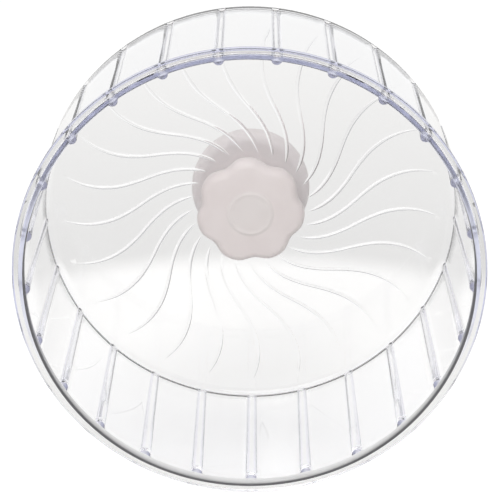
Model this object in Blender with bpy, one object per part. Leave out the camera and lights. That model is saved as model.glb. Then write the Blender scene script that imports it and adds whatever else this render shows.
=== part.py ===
# Chinchilla exercise wheel: a clear drum on a short ball-bearing hub that clamps to cage bars.
# Metres, +Z up. The wheel turns about Y. The origin is on that axis, at the face of the base that
# rests on the bars. The open front of the drum faces -Y. A place "ahead" is a distance in front of
# that face, towards the open front, so it becomes -Y. Angles run from +X towards +Z.

import math

import bmesh
import bpy

# Clearances
SEAT_GAP = 0.0003          # between two pieces that touch
RUNNING_GAP = 0.001        # between the turning hub and the fixed neck
CUT_OVERRUN = 0.002        # how far a cutter passes the faces that it cuts
WELD_DISTANCE = 0.000001   # points closer than this are one point

# Drum, one clear moulding
RIM_RADIUS = 0.160
RIM_REACH = 0.0058         # how far the rim stands out of the drum
RIM_LENGTH = 0.0065
RIM_ROUNDING = 0.0012
DRUM_WALL = 0.0025
DRUM_TAPER = 0.0049        # how much narrower the inside is at the back wall than at the mouth
DRUM_DEPTH = 0.137         # from the rim's front to the back wall's front
INNER_CORNER = 0.0055
OUTER_CORNER = 0.008
MOUTH_RADIUS = RIM_RADIUS - RIM_REACH - DRUM_WALL
FLOOR_RADIUS = MOUTH_RADIUS - DRUM_TAPER

# Treads inside the drum
TREAD_COUNT = 25
TREAD_FIRST_ANGLE = 270.47
TREAD_FRONT_WIDTH = 0.0072
TREAD_BACK_WIDTH = 0.0053
TREAD_HEIGHT = 0.003
TREAD_SIDE = 0.0006        # straight part of a tread's side, below its round top
TREAD_ROOT = 0.001         # how deep a tread's base runs into the drum
TREAD_SETBACK = 0.0042     # from the rim's front to a tread's front end
TREAD_HEEL = 0.003         # from the back wall to the back end of a tread's base

# Swirl ridges on the back wall
RIDGE_COUNT = 25
RIDGE_FIRST_ANGLE = 240.5
RIDGE_KNOB_MARGIN = 0.0027  # from the knob's lobes out to the ridges
RIDGE_CORNER_MARGIN = 0.0076  # from the ridges out to the drum's inner corner
RIDGE_TURN = 32.5
RIDGE_WIDTH = 0.0026
RIDGE_HEIGHT = 0.0011
RIDGE_ROOT = 0.0007        # how deep its base runs into the wall
# Along a ridge: share of the way out, share of the turn, share of the width and height
RIDGE_SHARES = (
    (0.00, 0.00, 0.12),
    (0.07, 0.125, 0.75),
    (0.17, 0.315, 1.00),
    (0.30, 0.575, 1.00),
    (0.43, 0.80, 0.97),
    (0.56, 0.935, 0.92),
    (0.70, 0.995, 0.82),
    (0.84, 0.995, 0.62),
    (0.94, 0.965, 0.38),
    (1.00, 0.94, 0.12),
)

# Axle and its rear end
AXLE_RADIUS = 0.004
AXLE_CHAMFER = 0.0006
AXLE_STUB = 0.001          # what stands behind the rear nut
AXLE_SHORTFALL = 0.001     # from the axle's front end to the front of the knob's insert
AXLE_NUT_ACROSS = 0.013    # across the flats
AXLE_NUT_HEIGHT = 0.005
AXLE_WASHER_THICKNESS = 0.0014

# Ball bearings, 8 x 22 x 7 mm
BEARING_RADIUS = 0.011
BEARING_WIDTH = 0.007
BALL_COUNT = 7
BALL_RADIUS = 0.00198
RING_STEP = 0.00145        # from the circle of the balls to the edge of either ring
RING_BEVEL = 0.0004
CAGE_BACK = 0.0007         # from the balls' plane to the open side of the cage
CAGE_FRONT = 0.0028        # from the balls' plane to the closed side
SPACER_LENGTH = 0.011
BEARING_PITCH_RADIUS = (AXLE_RADIUS + BEARING_RADIUS) / 2
INNER_RING_RADIUS = BEARING_PITCH_RADIUS - RING_STEP
OUTER_RING_BORE = BEARING_PITCH_RADIUS + RING_STEP

# Hub flange that carries the drum
HUB_FLANGE_RADIUS = 0.024
HUB_FLANGE_THICKNESS = 0.004
HUB_FLANGE_BEVEL = 0.0006
HUB_PILOT_RADIUS = 0.008
HUB_PILOT_LENGTH = 0.002

# Washer under the knob
WHEEL_WASHER_RADIUS = 0.020
WHEEL_WASHER_THICKNESS = 0.001

# Knob
KNOB_LOBES = 7
KNOB_FIRST_LOBE_ANGLE = 43.0
KNOB_LOBE_RADIUS = 0.039
KNOB_VALLEY_RADIUS = 0.0356
KNOB_DEPTH = 0.0128
KNOB_BACK_ROUNDING = 0.002
KNOB_FRONT_ROUNDING = 0.0052
KNOB_CROWN = 0.0006        # how far the face falls from its middle to its rounded edge
INSERT_WALL = 0.0032
INSERT_FLANGE_WIDTH = 0.0035
INSERT_FLANGE_THICKNESS = 0.0025
CENTRE_CAP_LAP = 0.005     # how far the cap reaches past the insert's flange
CENTRE_CAP_THICKNESS = 0.0021
CENTRE_CAP_RISE = 0.0008   # how far it stands out of the knob's face
CENTRE_CAP_ROUNDING = 0.0006

# Base: housing, rear cover and its screws
HOUSING_RADIUS = 0.043
HOUSING_DEPTH = 0.0125
HOUSING_WALL = 0.003
HOUSING_ROUNDING = 0.007
HOUSING_BACK_BEVEL = 0.001
NECK_WALL = 0.0057
NECK_BEVEL = 0.001
NECK_LIP = 0.0003          # how far the neck reaches past the front bearing
SHOULDER_WIDTH = 0.0018    # what the outer rings rest against, between the two bearings
COVER_INSET = 0.0005       # from the housing's side in to the cover's edge
COVER_THICKNESS = 0.004
COVER_BEVEL = 0.0008
SOCKET_WALL = 0.003        # round the bolt's head
SOCKET_HEIGHT = 0.004
SCREW_COUNT = 3
SCREW_FIRST_ANGLE = 90.0
SCREW_INSET = 0.012        # from the housing's side in to a screw's middle
SCREW_RADIUS = 0.0016
SCREW_HEAD_RADIUS = 0.0031
SCREW_HEAD_HEIGHT = 0.0019
SCREW_LENGTH = 0.0098      # under the head
SCREW_SLOT_WIDTH = 0.0009
SCREW_SLOT_DEPTH = 0.0009
SCREW_BOSS_WALL = 0.0024

# Clamp behind the cage bars
BAR_SPACE = 0.006          # between the base and the clamp plate, at rest
CLAMP_OPENING = 0.008      # how far the plate can back off from rest
BOLT_RADIUS = 0.004
BOLT_CHAMFER = 0.0006
BOLT_STUB = 0.002          # what is left behind the nut when it is backed off
BOLT_HEAD_ACROSS = 0.013
BOLT_HEAD_HEIGHT = 0.0053
HEAD_CLEARANCE = 0.001     # from the bolt's head to the axle
PLATE_RADIUS = 0.026
PLATE_THICKNESS = 0.0035
PLATE_BEVEL = 0.0008
PLATE_BOSS_RADIUS = 0.0095
PLATE_BOSS_HEIGHT = 0.0018
NUT_TOP_WALL = 0.0021
NUT_BASE_WALL = 0.0035
NUT_HEIGHT = 0.0082
WING_THICKNESS = 0.0024
WING_LENGTH = 0.0122       # outwards, from the middle of the nut's wall
WING_RISE = 0.0165
# Outline of one wing: share of its length, share of its rise
WING_SHARES = (
    (0.00, 0.06), (0.31, 0.10), (0.71, 0.34), (0.96, 0.66), (1.00, 0.86),
    (0.90, 0.98), (0.71, 1.00), (0.52, 0.93), (0.36, 0.70), (0.00, 0.44),
)

# How finely the shapes are drawn
DRUM_SEGMENTS = 100
DISC_SEGMENTS = 40
RING_SEGMENTS = 24
SMALL_SEGMENTS = 16
KNOB_STEPS_PER_LOBE = 8
CORNER_STEPS = 3
TREAD_ARC_STEPS = 4
GROOVE_STEPS = 3
BALL_SEGMENTS = 7
BALL_RINGS = 5
SHARP_ANGLE = 35.0

# Places ahead of the cage face, each from the piece behind it
COVER_FRONT = COVER_THICKNESS
HOUSING_BACK = COVER_FRONT + SEAT_GAP
BOLT_HEAD_BACK = COVER_FRONT + SEAT_GAP
AXLE_BACK = BOLT_HEAD_BACK + BOLT_HEAD_HEIGHT + HEAD_CLEARANCE
AXLE_NUT_BACK = AXLE_BACK + AXLE_STUB
AXLE_WASHER_BACK = AXLE_NUT_BACK + AXLE_NUT_HEIGHT + SEAT_GAP
REAR_BEARING_BACK = AXLE_WASHER_BACK + AXLE_WASHER_THICKNESS + SEAT_GAP
SPACER_BACK = REAR_BEARING_BACK + BEARING_WIDTH + SEAT_GAP
FRONT_BEARING_BACK = SPACER_BACK + SPACER_LENGTH + SEAT_GAP
FRONT_BEARING_FRONT = FRONT_BEARING_BACK + BEARING_WIDTH
NECK_FRONT = FRONT_BEARING_FRONT + NECK_LIP
HUB_BACK = FRONT_BEARING_FRONT + SEAT_GAP
HUB_FLANGE_BACK = NECK_FRONT + RUNNING_GAP
HUB_FLANGE_FRONT = HUB_FLANGE_BACK + HUB_FLANGE_THICKNESS
WALL_BACK = HUB_FLANGE_FRONT + SEAT_GAP
WALL_FRONT = WALL_BACK + DRUM_WALL
RIM_FRONT = WALL_FRONT + DRUM_DEPTH
WHEEL_WASHER_BACK = WALL_FRONT + SEAT_GAP
KNOB_BACK = WHEEL_WASHER_BACK + WHEEL_WASHER_THICKNESS + SEAT_GAP
KNOB_FRONT = KNOB_BACK + KNOB_DEPTH
CAP_BACK = KNOB_FRONT + CENTRE_CAP_RISE - CENTRE_CAP_THICKNESS
INSERT_FRONT = CAP_BACK - SEAT_GAP
INSERT_FLANGE_BACK = INSERT_FRONT - INSERT_FLANGE_THICKNESS
AXLE_FRONT = INSERT_FRONT - AXLE_SHORTFALL
PLATE_BACK = -BAR_SPACE - PLATE_THICKNESS - PLATE_BOSS_HEIGHT
WING_NUT_FRONT = PLATE_BACK - SEAT_GAP
WING_NUT_BACK = WING_NUT_FRONT - NUT_HEIGHT
BOLT_BACK = WING_NUT_BACK - CLAMP_OPENING - BOLT_STUB

# Radii, each from the piece inside it
AXLE_BORE = AXLE_RADIUS + SEAT_GAP
BOLT_BORE = BOLT_RADIUS + SEAT_GAP
BEARING_SEAT = BEARING_RADIUS + SEAT_GAP
SHOULDER_RADIUS = BEARING_RADIUS - SHOULDER_WIDTH
NECK_RADIUS = BEARING_SEAT + NECK_WALL
INSERT_RADIUS = AXLE_BORE + INSERT_WALL
INSERT_FLANGE_RADIUS = INSERT_RADIUS + INSERT_FLANGE_WIDTH
CENTRE_CAP_RADIUS = INSERT_FLANGE_RADIUS + CENTRE_CAP_LAP
COVER_RADIUS = HOUSING_RADIUS - COVER_INSET
SCREW_CIRCLE_RADIUS = HOUSING_RADIUS - SCREW_INSET
SOCKET_RADIUS = BOLT_HEAD_ACROSS / 2 / math.cos(math.radians(30.0)) + SOCKET_WALL
RIDGE_INNER_RADIUS = KNOB_LOBE_RADIUS + RIDGE_KNOB_MARGIN
RIDGE_OUTER_RADIUS = FLOOR_RADIUS - INNER_CORNER - RIDGE_CORNER_MARGIN


def make_material(name, colour, roughness, metallic=0.0, transmission=0.0, alpha=1.0):
    material = bpy.data.materials.new(name)
    material.use_nodes = True
    shader = material.node_tree.nodes["Principled BSDF"]
    shader.inputs["Base Color"].default_value = (*colour, 1.0)
    shader.inputs["Roughness"].default_value = roughness
    shader.inputs["Metallic"].default_value = metallic
    shader.inputs["Transmission Weight"].default_value = transmission
    shader.inputs["Alpha"].default_value = alpha
    material.diffuse_color = (*colour, alpha)
    return material


def clear_plastic():
    return make_material("clear_plastic", (0.90, 0.93, 1.00), 0.04, transmission=1.0, alpha=0.35)


def pale_plastic(name):
    return make_material(name, (0.72, 0.66, 0.65), 0.38)


def steel(name):
    return make_material(name, (0.62, 0.62, 0.60), 0.28, metallic=1.0)


def brass():
    return make_material("insert_brass", (0.74, 0.56, 0.26), 0.30, metallic=1.0)


def nylon(name):
    return make_material(name, (0.80, 0.80, 0.77), 0.45)


def add_object(name, mesh, material, carrier, ahead):
    # The piece's own origin lies on the wheel's axis, at its place ahead.
    bmesh.ops.recalc_face_normals(mesh, faces=mesh.faces)
    data = bpy.data.meshes.new(name)
    mesh.to_mesh(data)
    mesh.free()
    data.materials.append(material)
    data.shade_smooth()
    data.set_sharp_from_angle(angle=math.radians(SHARP_ANGLE))
    return place_mesh(name, data, carrier, ahead)


def place_mesh(name, data, carrier, ahead):
    piece = bpy.data.objects.new(name, data)
    bpy.context.scene.collection.objects.link(piece)
    piece.parent = carrier
    piece.location = (0.0, -ahead - carrier.location.y, 0.0)
    return piece


def add_carrier(name, ahead):
    # An empty on the axis that a moving group hangs on.
    carrier = bpy.data.objects.new(name, None)
    bpy.context.scene.collection.objects.link(carrier)
    carrier.location = (0.0, -ahead, 0.0)
    return carrier


def add_boolean(piece, cutter, operation):
    cutter.hide_render = True
    cutter.display_type = "WIRE"
    step = piece.modifiers.new(cutter.name, "BOOLEAN")
    step.operation = operation
    step.solver = "EXACT"
    step.object = cutter


def turned(outline, segments, closed=True):
    # Turns an outline of (radius, ahead) points about Y. An open outline starts and ends at
    # radius zero, and a closed one leaves a bore.
    mesh = bmesh.new()
    points = [mesh.verts.new((radius, -ahead, 0.0)) for radius, ahead in outline]
    edges = [mesh.edges.new(pair) for pair in zip(points, points[1:])]
    if closed:
        edges.append(mesh.edges.new((points[-1], points[0])))
    bmesh.ops.spin(
        mesh, geom=points + edges, cent=(0.0, 0.0, 0.0), axis=(0.0, 1.0, 0.0),
        angle=math.tau, steps=segments, use_merge=True,
    )
    bmesh.ops.remove_doubles(mesh, verts=mesh.verts, dist=WELD_DISTANCE)
    return mesh


def corner(radius_centre, ahead_centre, rounding, start, end, steps=CORNER_STEPS):
    # Points of a round corner in an outline. Angles in degrees, 0 outwards and 90 ahead.
    points = []
    for step in range(steps + 1):
        angle = math.radians(start + (end - start) * step / steps)
        points.append((
            radius_centre + rounding * math.cos(angle),
            ahead_centre + rounding * math.sin(angle),
        ))
    return points


def lofted(sections):
    # Joins sections with the same number of points into one closed bar with flat ends.
    mesh = bmesh.new()
    rings = [[mesh.verts.new(point) for point in section] for section in sections]
    count = len(rings[0])
    for ring, following in zip(rings, rings[1:]):
        for index in range(count):
            after = (index + 1) % count
            mesh.faces.new((ring[index], ring[after], following[after], following[index]))
    mesh.faces.new(rings[0])
    mesh.faces.new(rings[-1])
    return mesh


def add_copy(whole, single):
    # Adds one body to a mesh that holds several, and frees it.
    data = bpy.data.meshes.new("copy")
    single.to_mesh(data)
    single.free()
    whole.from_mesh(data)
    bpy.data.meshes.remove(data)


def ring_of_copies(build, count, first_angle):
    # One mesh that holds equal bodies set round the axis.
    whole = bmesh.new()
    for index in range(count):
        add_copy(whole, build(math.radians(first_angle + index * 360.0 / count)))
    return whole


def around_axis(angle, radius, ahead):
    return (radius * math.cos(angle), -ahead, radius * math.sin(angle))


# Drum


def drum_outline():
    # From the bore along the wall's front, out along the inside, round the rim and back.
    depth = WALL_FRONT - WALL_BACK
    front = RIM_FRONT - WALL_BACK
    rim_back = front - RIM_LENGTH
    edge = RIM_ROUNDING
    inner = FLOOR_RADIUS - INNER_CORNER
    outer = FLOOR_RADIUS + DRUM_WALL - OUTER_CORNER
    outline = [(HUB_PILOT_RADIUS + SEAT_GAP, depth)]
    outline += corner(inner, depth + INNER_CORNER, INNER_CORNER, -90.0, 0.0)
    outline += [(MOUTH_RADIUS, front - edge)]
    outline += [(MOUTH_RADIUS + edge, front)]
    outline += corner(RIM_RADIUS - edge, front - edge, edge, 90.0, 0.0, 2)
    outline += corner(RIM_RADIUS - edge, rim_back + edge, edge, 0.0, -90.0, 2)
    outline += [(MOUTH_RADIUS + DRUM_WALL, rim_back)]
    outline += corner(outer, OUTER_CORNER, OUTER_CORNER, 0.0, -90.0)
    outline += [(HUB_PILOT_RADIUS + SEAT_GAP, 0.0)]
    return outline


def inside_radius(ahead):
    # The inside of the drum narrows evenly from its mouth to its floor.
    share = (ahead - WALL_FRONT) / DRUM_DEPTH
    return FLOOR_RADIUS + (MOUTH_RADIUS - FLOOR_RADIUS) * share


def tread_section(angle, ahead, width, heel):
    # A half-round section. Its base leans ahead by heel, so it stays inside the drum's corner.
    half = width / 2
    profile = [(half, -TREAD_ROOT)]
    for step in range(TREAD_ARC_STEPS + 1):
        turn = math.pi * step / TREAD_ARC_STEPS
        rise = TREAD_SIDE + (TREAD_HEIGHT - TREAD_SIDE) * math.sin(turn)
        profile.append((half * math.cos(turn), rise))
    profile.append((-half, -TREAD_ROOT))
    section = []
    for across, rise in profile:
        lean = heel * (TREAD_HEIGHT - rise) / (TREAD_HEIGHT + TREAD_ROOT)
        radius = inside_radius(ahead + lean) - rise
        x, y, z = around_axis(angle, radius, ahead + lean - WALL_BACK)
        section.append((x - across * math.sin(angle), y, z + across * math.cos(angle)))
    return section


def tread(angle):
    back = WALL_FRONT - DRUM_WALL / 2
    heel = DRUM_WALL / 2 + TREAD_HEEL
    return lofted([
        tread_section(angle, back, TREAD_BACK_WIDTH, heel),
        tread_section(angle, RIM_FRONT - TREAD_SETBACK, TREAD_FRONT_WIDTH, 0.0),
    ])


def ridge_centre(angle, out_share, turn_share):
    radius = RIDGE_INNER_RADIUS + (RIDGE_OUTER_RADIUS - RIDGE_INNER_RADIUS) * out_share
    return radius, angle + math.radians(RIDGE_TURN) * turn_share


def ridge(angle):
    # An S-shaped ridge with a low crest and pointed ends, square to its own line.
    centres = [ridge_centre(angle, out, turn) for out, turn, size in RIDGE_SHARES]
    places = [(r * math.cos(a), r * math.sin(a)) for r, a in centres]
    sections = []
    for index, (out, turn, size) in enumerate(RIDGE_SHARES):
        before = places[max(index - 1, 0)]
        after = places[min(index + 1, len(places) - 1)]
        along = (after[0] - before[0], after[1] - before[1])
        length = math.hypot(*along)
        across = (-along[1] / length, along[0] / length)
        crest = RIDGE_HEIGHT * size
        root = RIDGE_ROOT * size
        half = RIDGE_WIDTH * size / 2 * (crest + root) / crest
        profile = [(half, -root), (0.0, crest), (-half, -root)]
        x, z = places[index]
        sections.append([
            (x + across[0] * offset, -(DRUM_WALL + rise), z + across[1] * offset)
            for offset, rise in profile
        ])
    return lofted(sections)


def merge_flat_wall(mesh):
    # The flat faces of the back wall become four large faces a side, so that it cuts cleanly.
    quarter = DRUM_SEGMENTS // 4
    flat = FLOOR_RADIUS - INNER_CORNER
    seams = []
    for edge in mesh.edges:
        low, high = sorted(math.hypot(point.co.x, point.co.z) for point in edge.verts)
        level = abs(edge.verts[0].co.y - edge.verts[1].co.y)
        if level < WELD_DISTANCE and low < flat / 2 < high:
            tip = edge.verts[0].co
            step = round(math.atan2(tip.z, tip.x) / math.tau * DRUM_SEGMENTS)
            if step % quarter:
                seams.append(edge)
    bmesh.ops.dissolve_edges(mesh, edges=seams, use_verts=False)


def add_drum(wheel):
    plastic = clear_plastic()
    shell = turned(drum_outline(), DRUM_SEGMENTS)
    merge_flat_wall(shell)
    drum = add_object("wheel_drum", shell, plastic, wheel, WALL_BACK)
    treads = ring_of_copies(tread, TREAD_COUNT, TREAD_FIRST_ANGLE)
    add_boolean(drum, add_object("tread_bars", treads, plastic, wheel, WALL_BACK), "UNION")
    ridges = ring_of_copies(ridge, RIDGE_COUNT, RIDGE_FIRST_ANGLE)
    add_boolean(drum, add_object("swirl_ridges", ridges, plastic, wheel, WALL_BACK), "UNION")


# Axle, bearings and hub


def rod_outline(radius, length, chamfer):
    return [
        (0.0, 0.0), (radius - chamfer, 0.0), (radius, chamfer),
        (radius, length - chamfer), (radius - chamfer, length), (0.0, length),
    ]


def sleeve_outline(bore, radius, length):
    return [(bore, 0.0), (radius, 0.0), (radius, length), (bore, length)]


def hexagon(across_flats, height):
    # A hexagonal prism with its axis on Y.
    radius = across_flats / 2 / math.cos(math.radians(30.0))
    return turned([(0.0, 0.0), (radius, 0.0), (radius, height), (0.0, height)], 6, closed=False)


def add_axle(wheel):
    length = AXLE_FRONT - AXLE_BACK
    rod = turned(rod_outline(AXLE_RADIUS, length, AXLE_CHAMFER), SMALL_SEGMENTS, closed=False)
    add_object("axle", rod, steel("axle_steel"), wheel, AXLE_BACK)

    nut_blank = hexagon(AXLE_NUT_ACROSS, AXLE_NUT_HEIGHT)
    nut = add_object("axle_nut", nut_blank, steel("axle_nut_steel"), wheel, AXLE_NUT_BACK)
    bore_length = AXLE_NUT_HEIGHT + 2 * CUT_OVERRUN
    bore = turned(
        [(0.0, 0.0), (AXLE_BORE, 0.0), (AXLE_BORE, bore_length), (0.0, bore_length)],
        SMALL_SEGMENTS, closed=False,
    )
    cutter = add_object("axle_nut_bore", bore, nut.data.materials[0], wheel, AXLE_NUT_BACK - CUT_OVERRUN)
    add_boolean(nut, cutter, "DIFFERENCE")

    washer = sleeve_outline(AXLE_BORE, INNER_RING_RADIUS, AXLE_WASHER_THICKNESS)
    add_object(
        "axle_washer", turned(washer, SMALL_SEGMENTS), steel("axle_washer_steel"), wheel,
        AXLE_WASHER_BACK,
    )
    spacer = sleeve_outline(AXLE_BORE, INNER_RING_RADIUS, SPACER_LENGTH)
    add_object(
        "bearing_spacer", turned(spacer, SMALL_SEGMENTS), steel("bearing_spacer_steel"), wheel,
        SPACER_BACK,
    )


def groove(side):
    # Points of the round ball groove, from the back to the front of the ring. side is 1 for the
    # outer ring and -1 for the inner one.
    radius = BALL_RADIUS + SEAT_GAP
    shoulder = OUTER_RING_BORE if side > 0 else INNER_RING_RADIUS
    reach = math.acos(abs(shoulder - BEARING_PITCH_RADIUS) / radius)
    points = []
    for step in range(GROOVE_STEPS + 1):
        angle = reach * (2 * step / GROOVE_STEPS - 1)
        points.append((
            BEARING_PITCH_RADIUS + side * radius * math.cos(angle),
            BEARING_WIDTH / 2 + radius * math.sin(angle),
        ))
    return points


def outer_ring_outline():
    return (
        [(OUTER_RING_BORE, 0.0)] + groove(1) + [
            (OUTER_RING_BORE, BEARING_WIDTH), (BEARING_RADIUS - RING_BEVEL, BEARING_WIDTH),
            (BEARING_RADIUS, BEARING_WIDTH - RING_BEVEL), (BEARING_RADIUS, RING_BEVEL),
            (BEARING_RADIUS - RING_BEVEL, 0.0),
        ]
    )


def inner_ring_outline():
    return (
        [(INNER_RING_RADIUS, 0.0)] + groove(-1) + [
            (INNER_RING_RADIUS, BEARING_WIDTH), (AXLE_BORE, BEARING_WIDTH), (AXLE_BORE, 0.0),
        ]
    )


def ball(radius):
    mesh = bmesh.new()
    bmesh.ops.create_uvsphere(mesh, u_segments=BALL_SEGMENTS, v_segments=BALL_RINGS, radius=radius)
    return mesh


def ball_place(index):
    return around_axis(math.tau * index / BALL_COUNT, BEARING_PITCH_RADIUS, BEARING_WIDTH / 2)


def pocket_balls():
    whole = bmesh.new()
    for index in range(BALL_COUNT):
        single = ball(BALL_RADIUS + SEAT_GAP)
        bmesh.ops.translate(single, verts=single.verts, vec=ball_place(index))
        add_copy(whole, single)
    return whole


def cage_ring():
    inner = INNER_RING_RADIUS + SEAT_GAP
    outer = OUTER_RING_BORE - SEAT_GAP
    back = BEARING_WIDTH / 2 - CAGE_BACK
    front = BEARING_WIDTH / 2 + CAGE_FRONT
    return turned([(inner, back), (outer, back), (outer, front), (inner, front)], RING_SEGMENTS)


def add_bearings(base, wheel):
    ring_steel = steel("bearing_steel")
    ball_steel = steel("ball_steel")
    cage_nylon = nylon("cage_nylon")
    for end, ahead in (("rear", REAR_BEARING_BACK), ("front", FRONT_BEARING_BACK)):
        name = end + "_bearing"
        carrier = add_carrier(end + "_cage_axis", ahead)
        outer = turned(outer_ring_outline(), RING_SEGMENTS)
        add_object(name + "_outer_ring", outer, ring_steel, base, ahead)
        inner = turned(inner_ring_outline(), RING_SEGMENTS)
        add_object(name + "_inner_ring", inner, ring_steel, wheel, ahead)
        cage = add_object(name + "_cage", cage_ring(), cage_nylon, carrier, ahead)
        pockets = add_object(end + "_cage_pockets", pocket_balls(), cage_nylon, carrier, ahead)
        add_boolean(cage, pockets, "DIFFERENCE")
        first = add_object(name + "_ball_1", ball(BALL_RADIUS), ball_steel, carrier, ahead)
        for index in range(1, BALL_COUNT):
            twin = place_mesh(f"{name}_ball_{index + 1}", first.data, carrier, ahead)
            twin.location = ball_place(index)
        first.location = ball_place(0)


def add_hub(wheel):
    disc_back = HUB_FLANGE_BACK - HUB_BACK
    disc_front = HUB_FLANGE_FRONT - HUB_BACK
    pilot_front = disc_front + SEAT_GAP + HUB_PILOT_LENGTH
    outline = [
        (AXLE_BORE, 0.0), (INNER_RING_RADIUS, 0.0), (INNER_RING_RADIUS, disc_back),
        (HUB_FLANGE_RADIUS - HUB_FLANGE_BEVEL, disc_back),
        (HUB_FLANGE_RADIUS, disc_back + HUB_FLANGE_BEVEL),
        (HUB_FLANGE_RADIUS, disc_front - HUB_FLANGE_BEVEL),
        (HUB_FLANGE_RADIUS - HUB_FLANGE_BEVEL, disc_front),
        (HUB_PILOT_RADIUS, disc_front), (HUB_PILOT_RADIUS, pilot_front), (AXLE_BORE, pilot_front),
    ]
    add_object("hub_flange", turned(outline, DISC_SEGMENTS), pale_plastic("hub_plastic"), wheel, HUB_BACK)

    washer = turned(sleeve_outline(AXLE_BORE, WHEEL_WASHER_RADIUS, WHEEL_WASHER_THICKNESS), DISC_SEGMENTS)
    add_object("wheel_washer", washer, nylon("washer_nylon"), wheel, WHEEL_WASHER_BACK)


# Knob


def knob_radius(angle):
    middle = (KNOB_LOBE_RADIUS + KNOB_VALLEY_RADIUS) / 2
    swing = (KNOB_LOBE_RADIUS - KNOB_VALLEY_RADIUS) / 2
    return middle + swing * math.cos(KNOB_LOBES * (angle - math.radians(KNOB_FIRST_LOBE_ANGLE)))


def knob_ring(ahead, inset=None, radius=None):
    # A ring of points: lobed and drawn in by inset, or round at radius.
    count = KNOB_LOBES * KNOB_STEPS_PER_LOBE
    points = []
    for index in range(count):
        angle = math.tau * index / count
        reach = radius if inset is None else knob_radius(angle) - inset
        points.append(around_axis(angle, reach, ahead))
    return points


def knob_body():
    bore = INSERT_RADIUS + SEAT_GAP
    pocket = INSERT_FLANGE_RADIUS + SEAT_GAP
    recess = CENTRE_CAP_RADIUS + SEAT_GAP
    pocket_floor = INSERT_FLANGE_BACK - SEAT_GAP - KNOB_BACK
    recess_floor = INSERT_FRONT - KNOB_BACK
    shoulder = KNOB_DEPTH - KNOB_CROWN - KNOB_FRONT_ROUNDING
    rings = [knob_ring(0.0, radius=bore)]
    for turn, level in corner(0.0, KNOB_BACK_ROUNDING, KNOB_BACK_ROUNDING, -90.0, 0.0, 2):
        rings.append(knob_ring(level, inset=KNOB_BACK_ROUNDING - turn))
    for turn, level in corner(0.0, shoulder, KNOB_FRONT_ROUNDING, 0.0, 90.0, 4):
        rings.append(knob_ring(level, inset=KNOB_FRONT_ROUNDING - turn))
    rings += [
        knob_ring(KNOB_DEPTH, radius=recess), knob_ring(recess_floor, radius=recess),
        knob_ring(recess_floor, radius=pocket), knob_ring(pocket_floor, radius=pocket),
        knob_ring(pocket_floor, radius=bore),
    ]
    mesh = bmesh.new()
    loops = [[mesh.verts.new(point) for point in ring] for ring in rings]
    count = len(loops[0])
    for loop, following in zip(loops, loops[1:] + loops[:1]):
        for index in range(count):
            after = (index + 1) % count
            mesh.faces.new((loop[index], loop[after], following[after], following[index]))
    return mesh


def add_knob():
    slider = add_carrier("knob_insert_axis", INSERT_FRONT)
    length = INSERT_FRONT - KNOB_BACK
    flange = INSERT_FLANGE_BACK - KNOB_BACK
    outline = [
        (AXLE_BORE, 0.0), (INSERT_RADIUS, 0.0), (INSERT_RADIUS, flange),
        (INSERT_FLANGE_RADIUS, flange), (INSERT_FLANGE_RADIUS, length), (AXLE_BORE, length),
    ]
    add_object("knob_insert", turned(outline, RING_SEGMENTS), brass(), slider, KNOB_BACK)

    turner = add_carrier("knob_axis", KNOB_BACK)
    add_object("knob_cap", knob_body(), pale_plastic("knob_plastic"), turner, KNOB_BACK)
    edge = CENTRE_CAP_ROUNDING
    outline = [(0.0, 0.0), (CENTRE_CAP_RADIUS, 0.0)]
    outline += corner(CENTRE_CAP_RADIUS - edge, CENTRE_CAP_THICKNESS - edge, edge, 0.0, 90.0, 2)
    outline += [(0.0, CENTRE_CAP_THICKNESS)]
    cap = turned(outline, KNOB_LOBES * KNOB_STEPS_PER_LOBE, closed=False)
    add_object("knob_centre_cap", cap, pale_plastic("centre_cap_plastic"), turner, CAP_BACK)


# Base


def housing_outline():
    # A cup that opens to the back, with a neck in front that holds the bearings.
    cavity = HOUSING_DEPTH - HOUSING_WALL
    inside = HOUSING_RADIUS - HOUSING_WALL
    inner_rounding = HOUSING_ROUNDING - HOUSING_WALL
    rear_shoulder = SPACER_BACK - HOUSING_BACK
    front_shoulder = FRONT_BEARING_BACK - SEAT_GAP - HOUSING_BACK
    neck = NECK_FRONT - HOUSING_BACK
    outline = [
        (inside, 0.0), (HOUSING_RADIUS - HOUSING_BACK_BEVEL, 0.0), (HOUSING_RADIUS, HOUSING_BACK_BEVEL),
    ]
    outline += corner(
        HOUSING_RADIUS - HOUSING_ROUNDING, HOUSING_DEPTH - HOUSING_ROUNDING, HOUSING_ROUNDING, 0.0, 90.0, 4,
    )
    outline += [
        (NECK_RADIUS, HOUSING_DEPTH), (NECK_RADIUS, neck - NECK_BEVEL), (NECK_RADIUS - NECK_BEVEL, neck),
        (BEARING_SEAT, neck), (BEARING_SEAT, front_shoulder), (SHOULDER_RADIUS, front_shoulder),
        (SHOULDER_RADIUS, rear_shoulder), (BEARING_SEAT, rear_shoulder), (BEARING_SEAT, cavity),
    ]
    outline += corner(inside - inner_rounding, cavity - inner_rounding, inner_rounding, 90.0, 0.0, 2)
    return outline


def rod_at(radius, back, front):
    # A plain rod on the circle of the screws.
    def build(angle):
        outline = [(0.0, back), (radius, back), (radius, front), (0.0, front)]
        rod = turned(outline, SMALL_SEGMENTS, closed=False)
        bmesh.ops.translate(rod, verts=rod.verts, vec=around_axis(angle, SCREW_CIRCLE_RADIUS, 0.0))
        return rod
    return build


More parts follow.
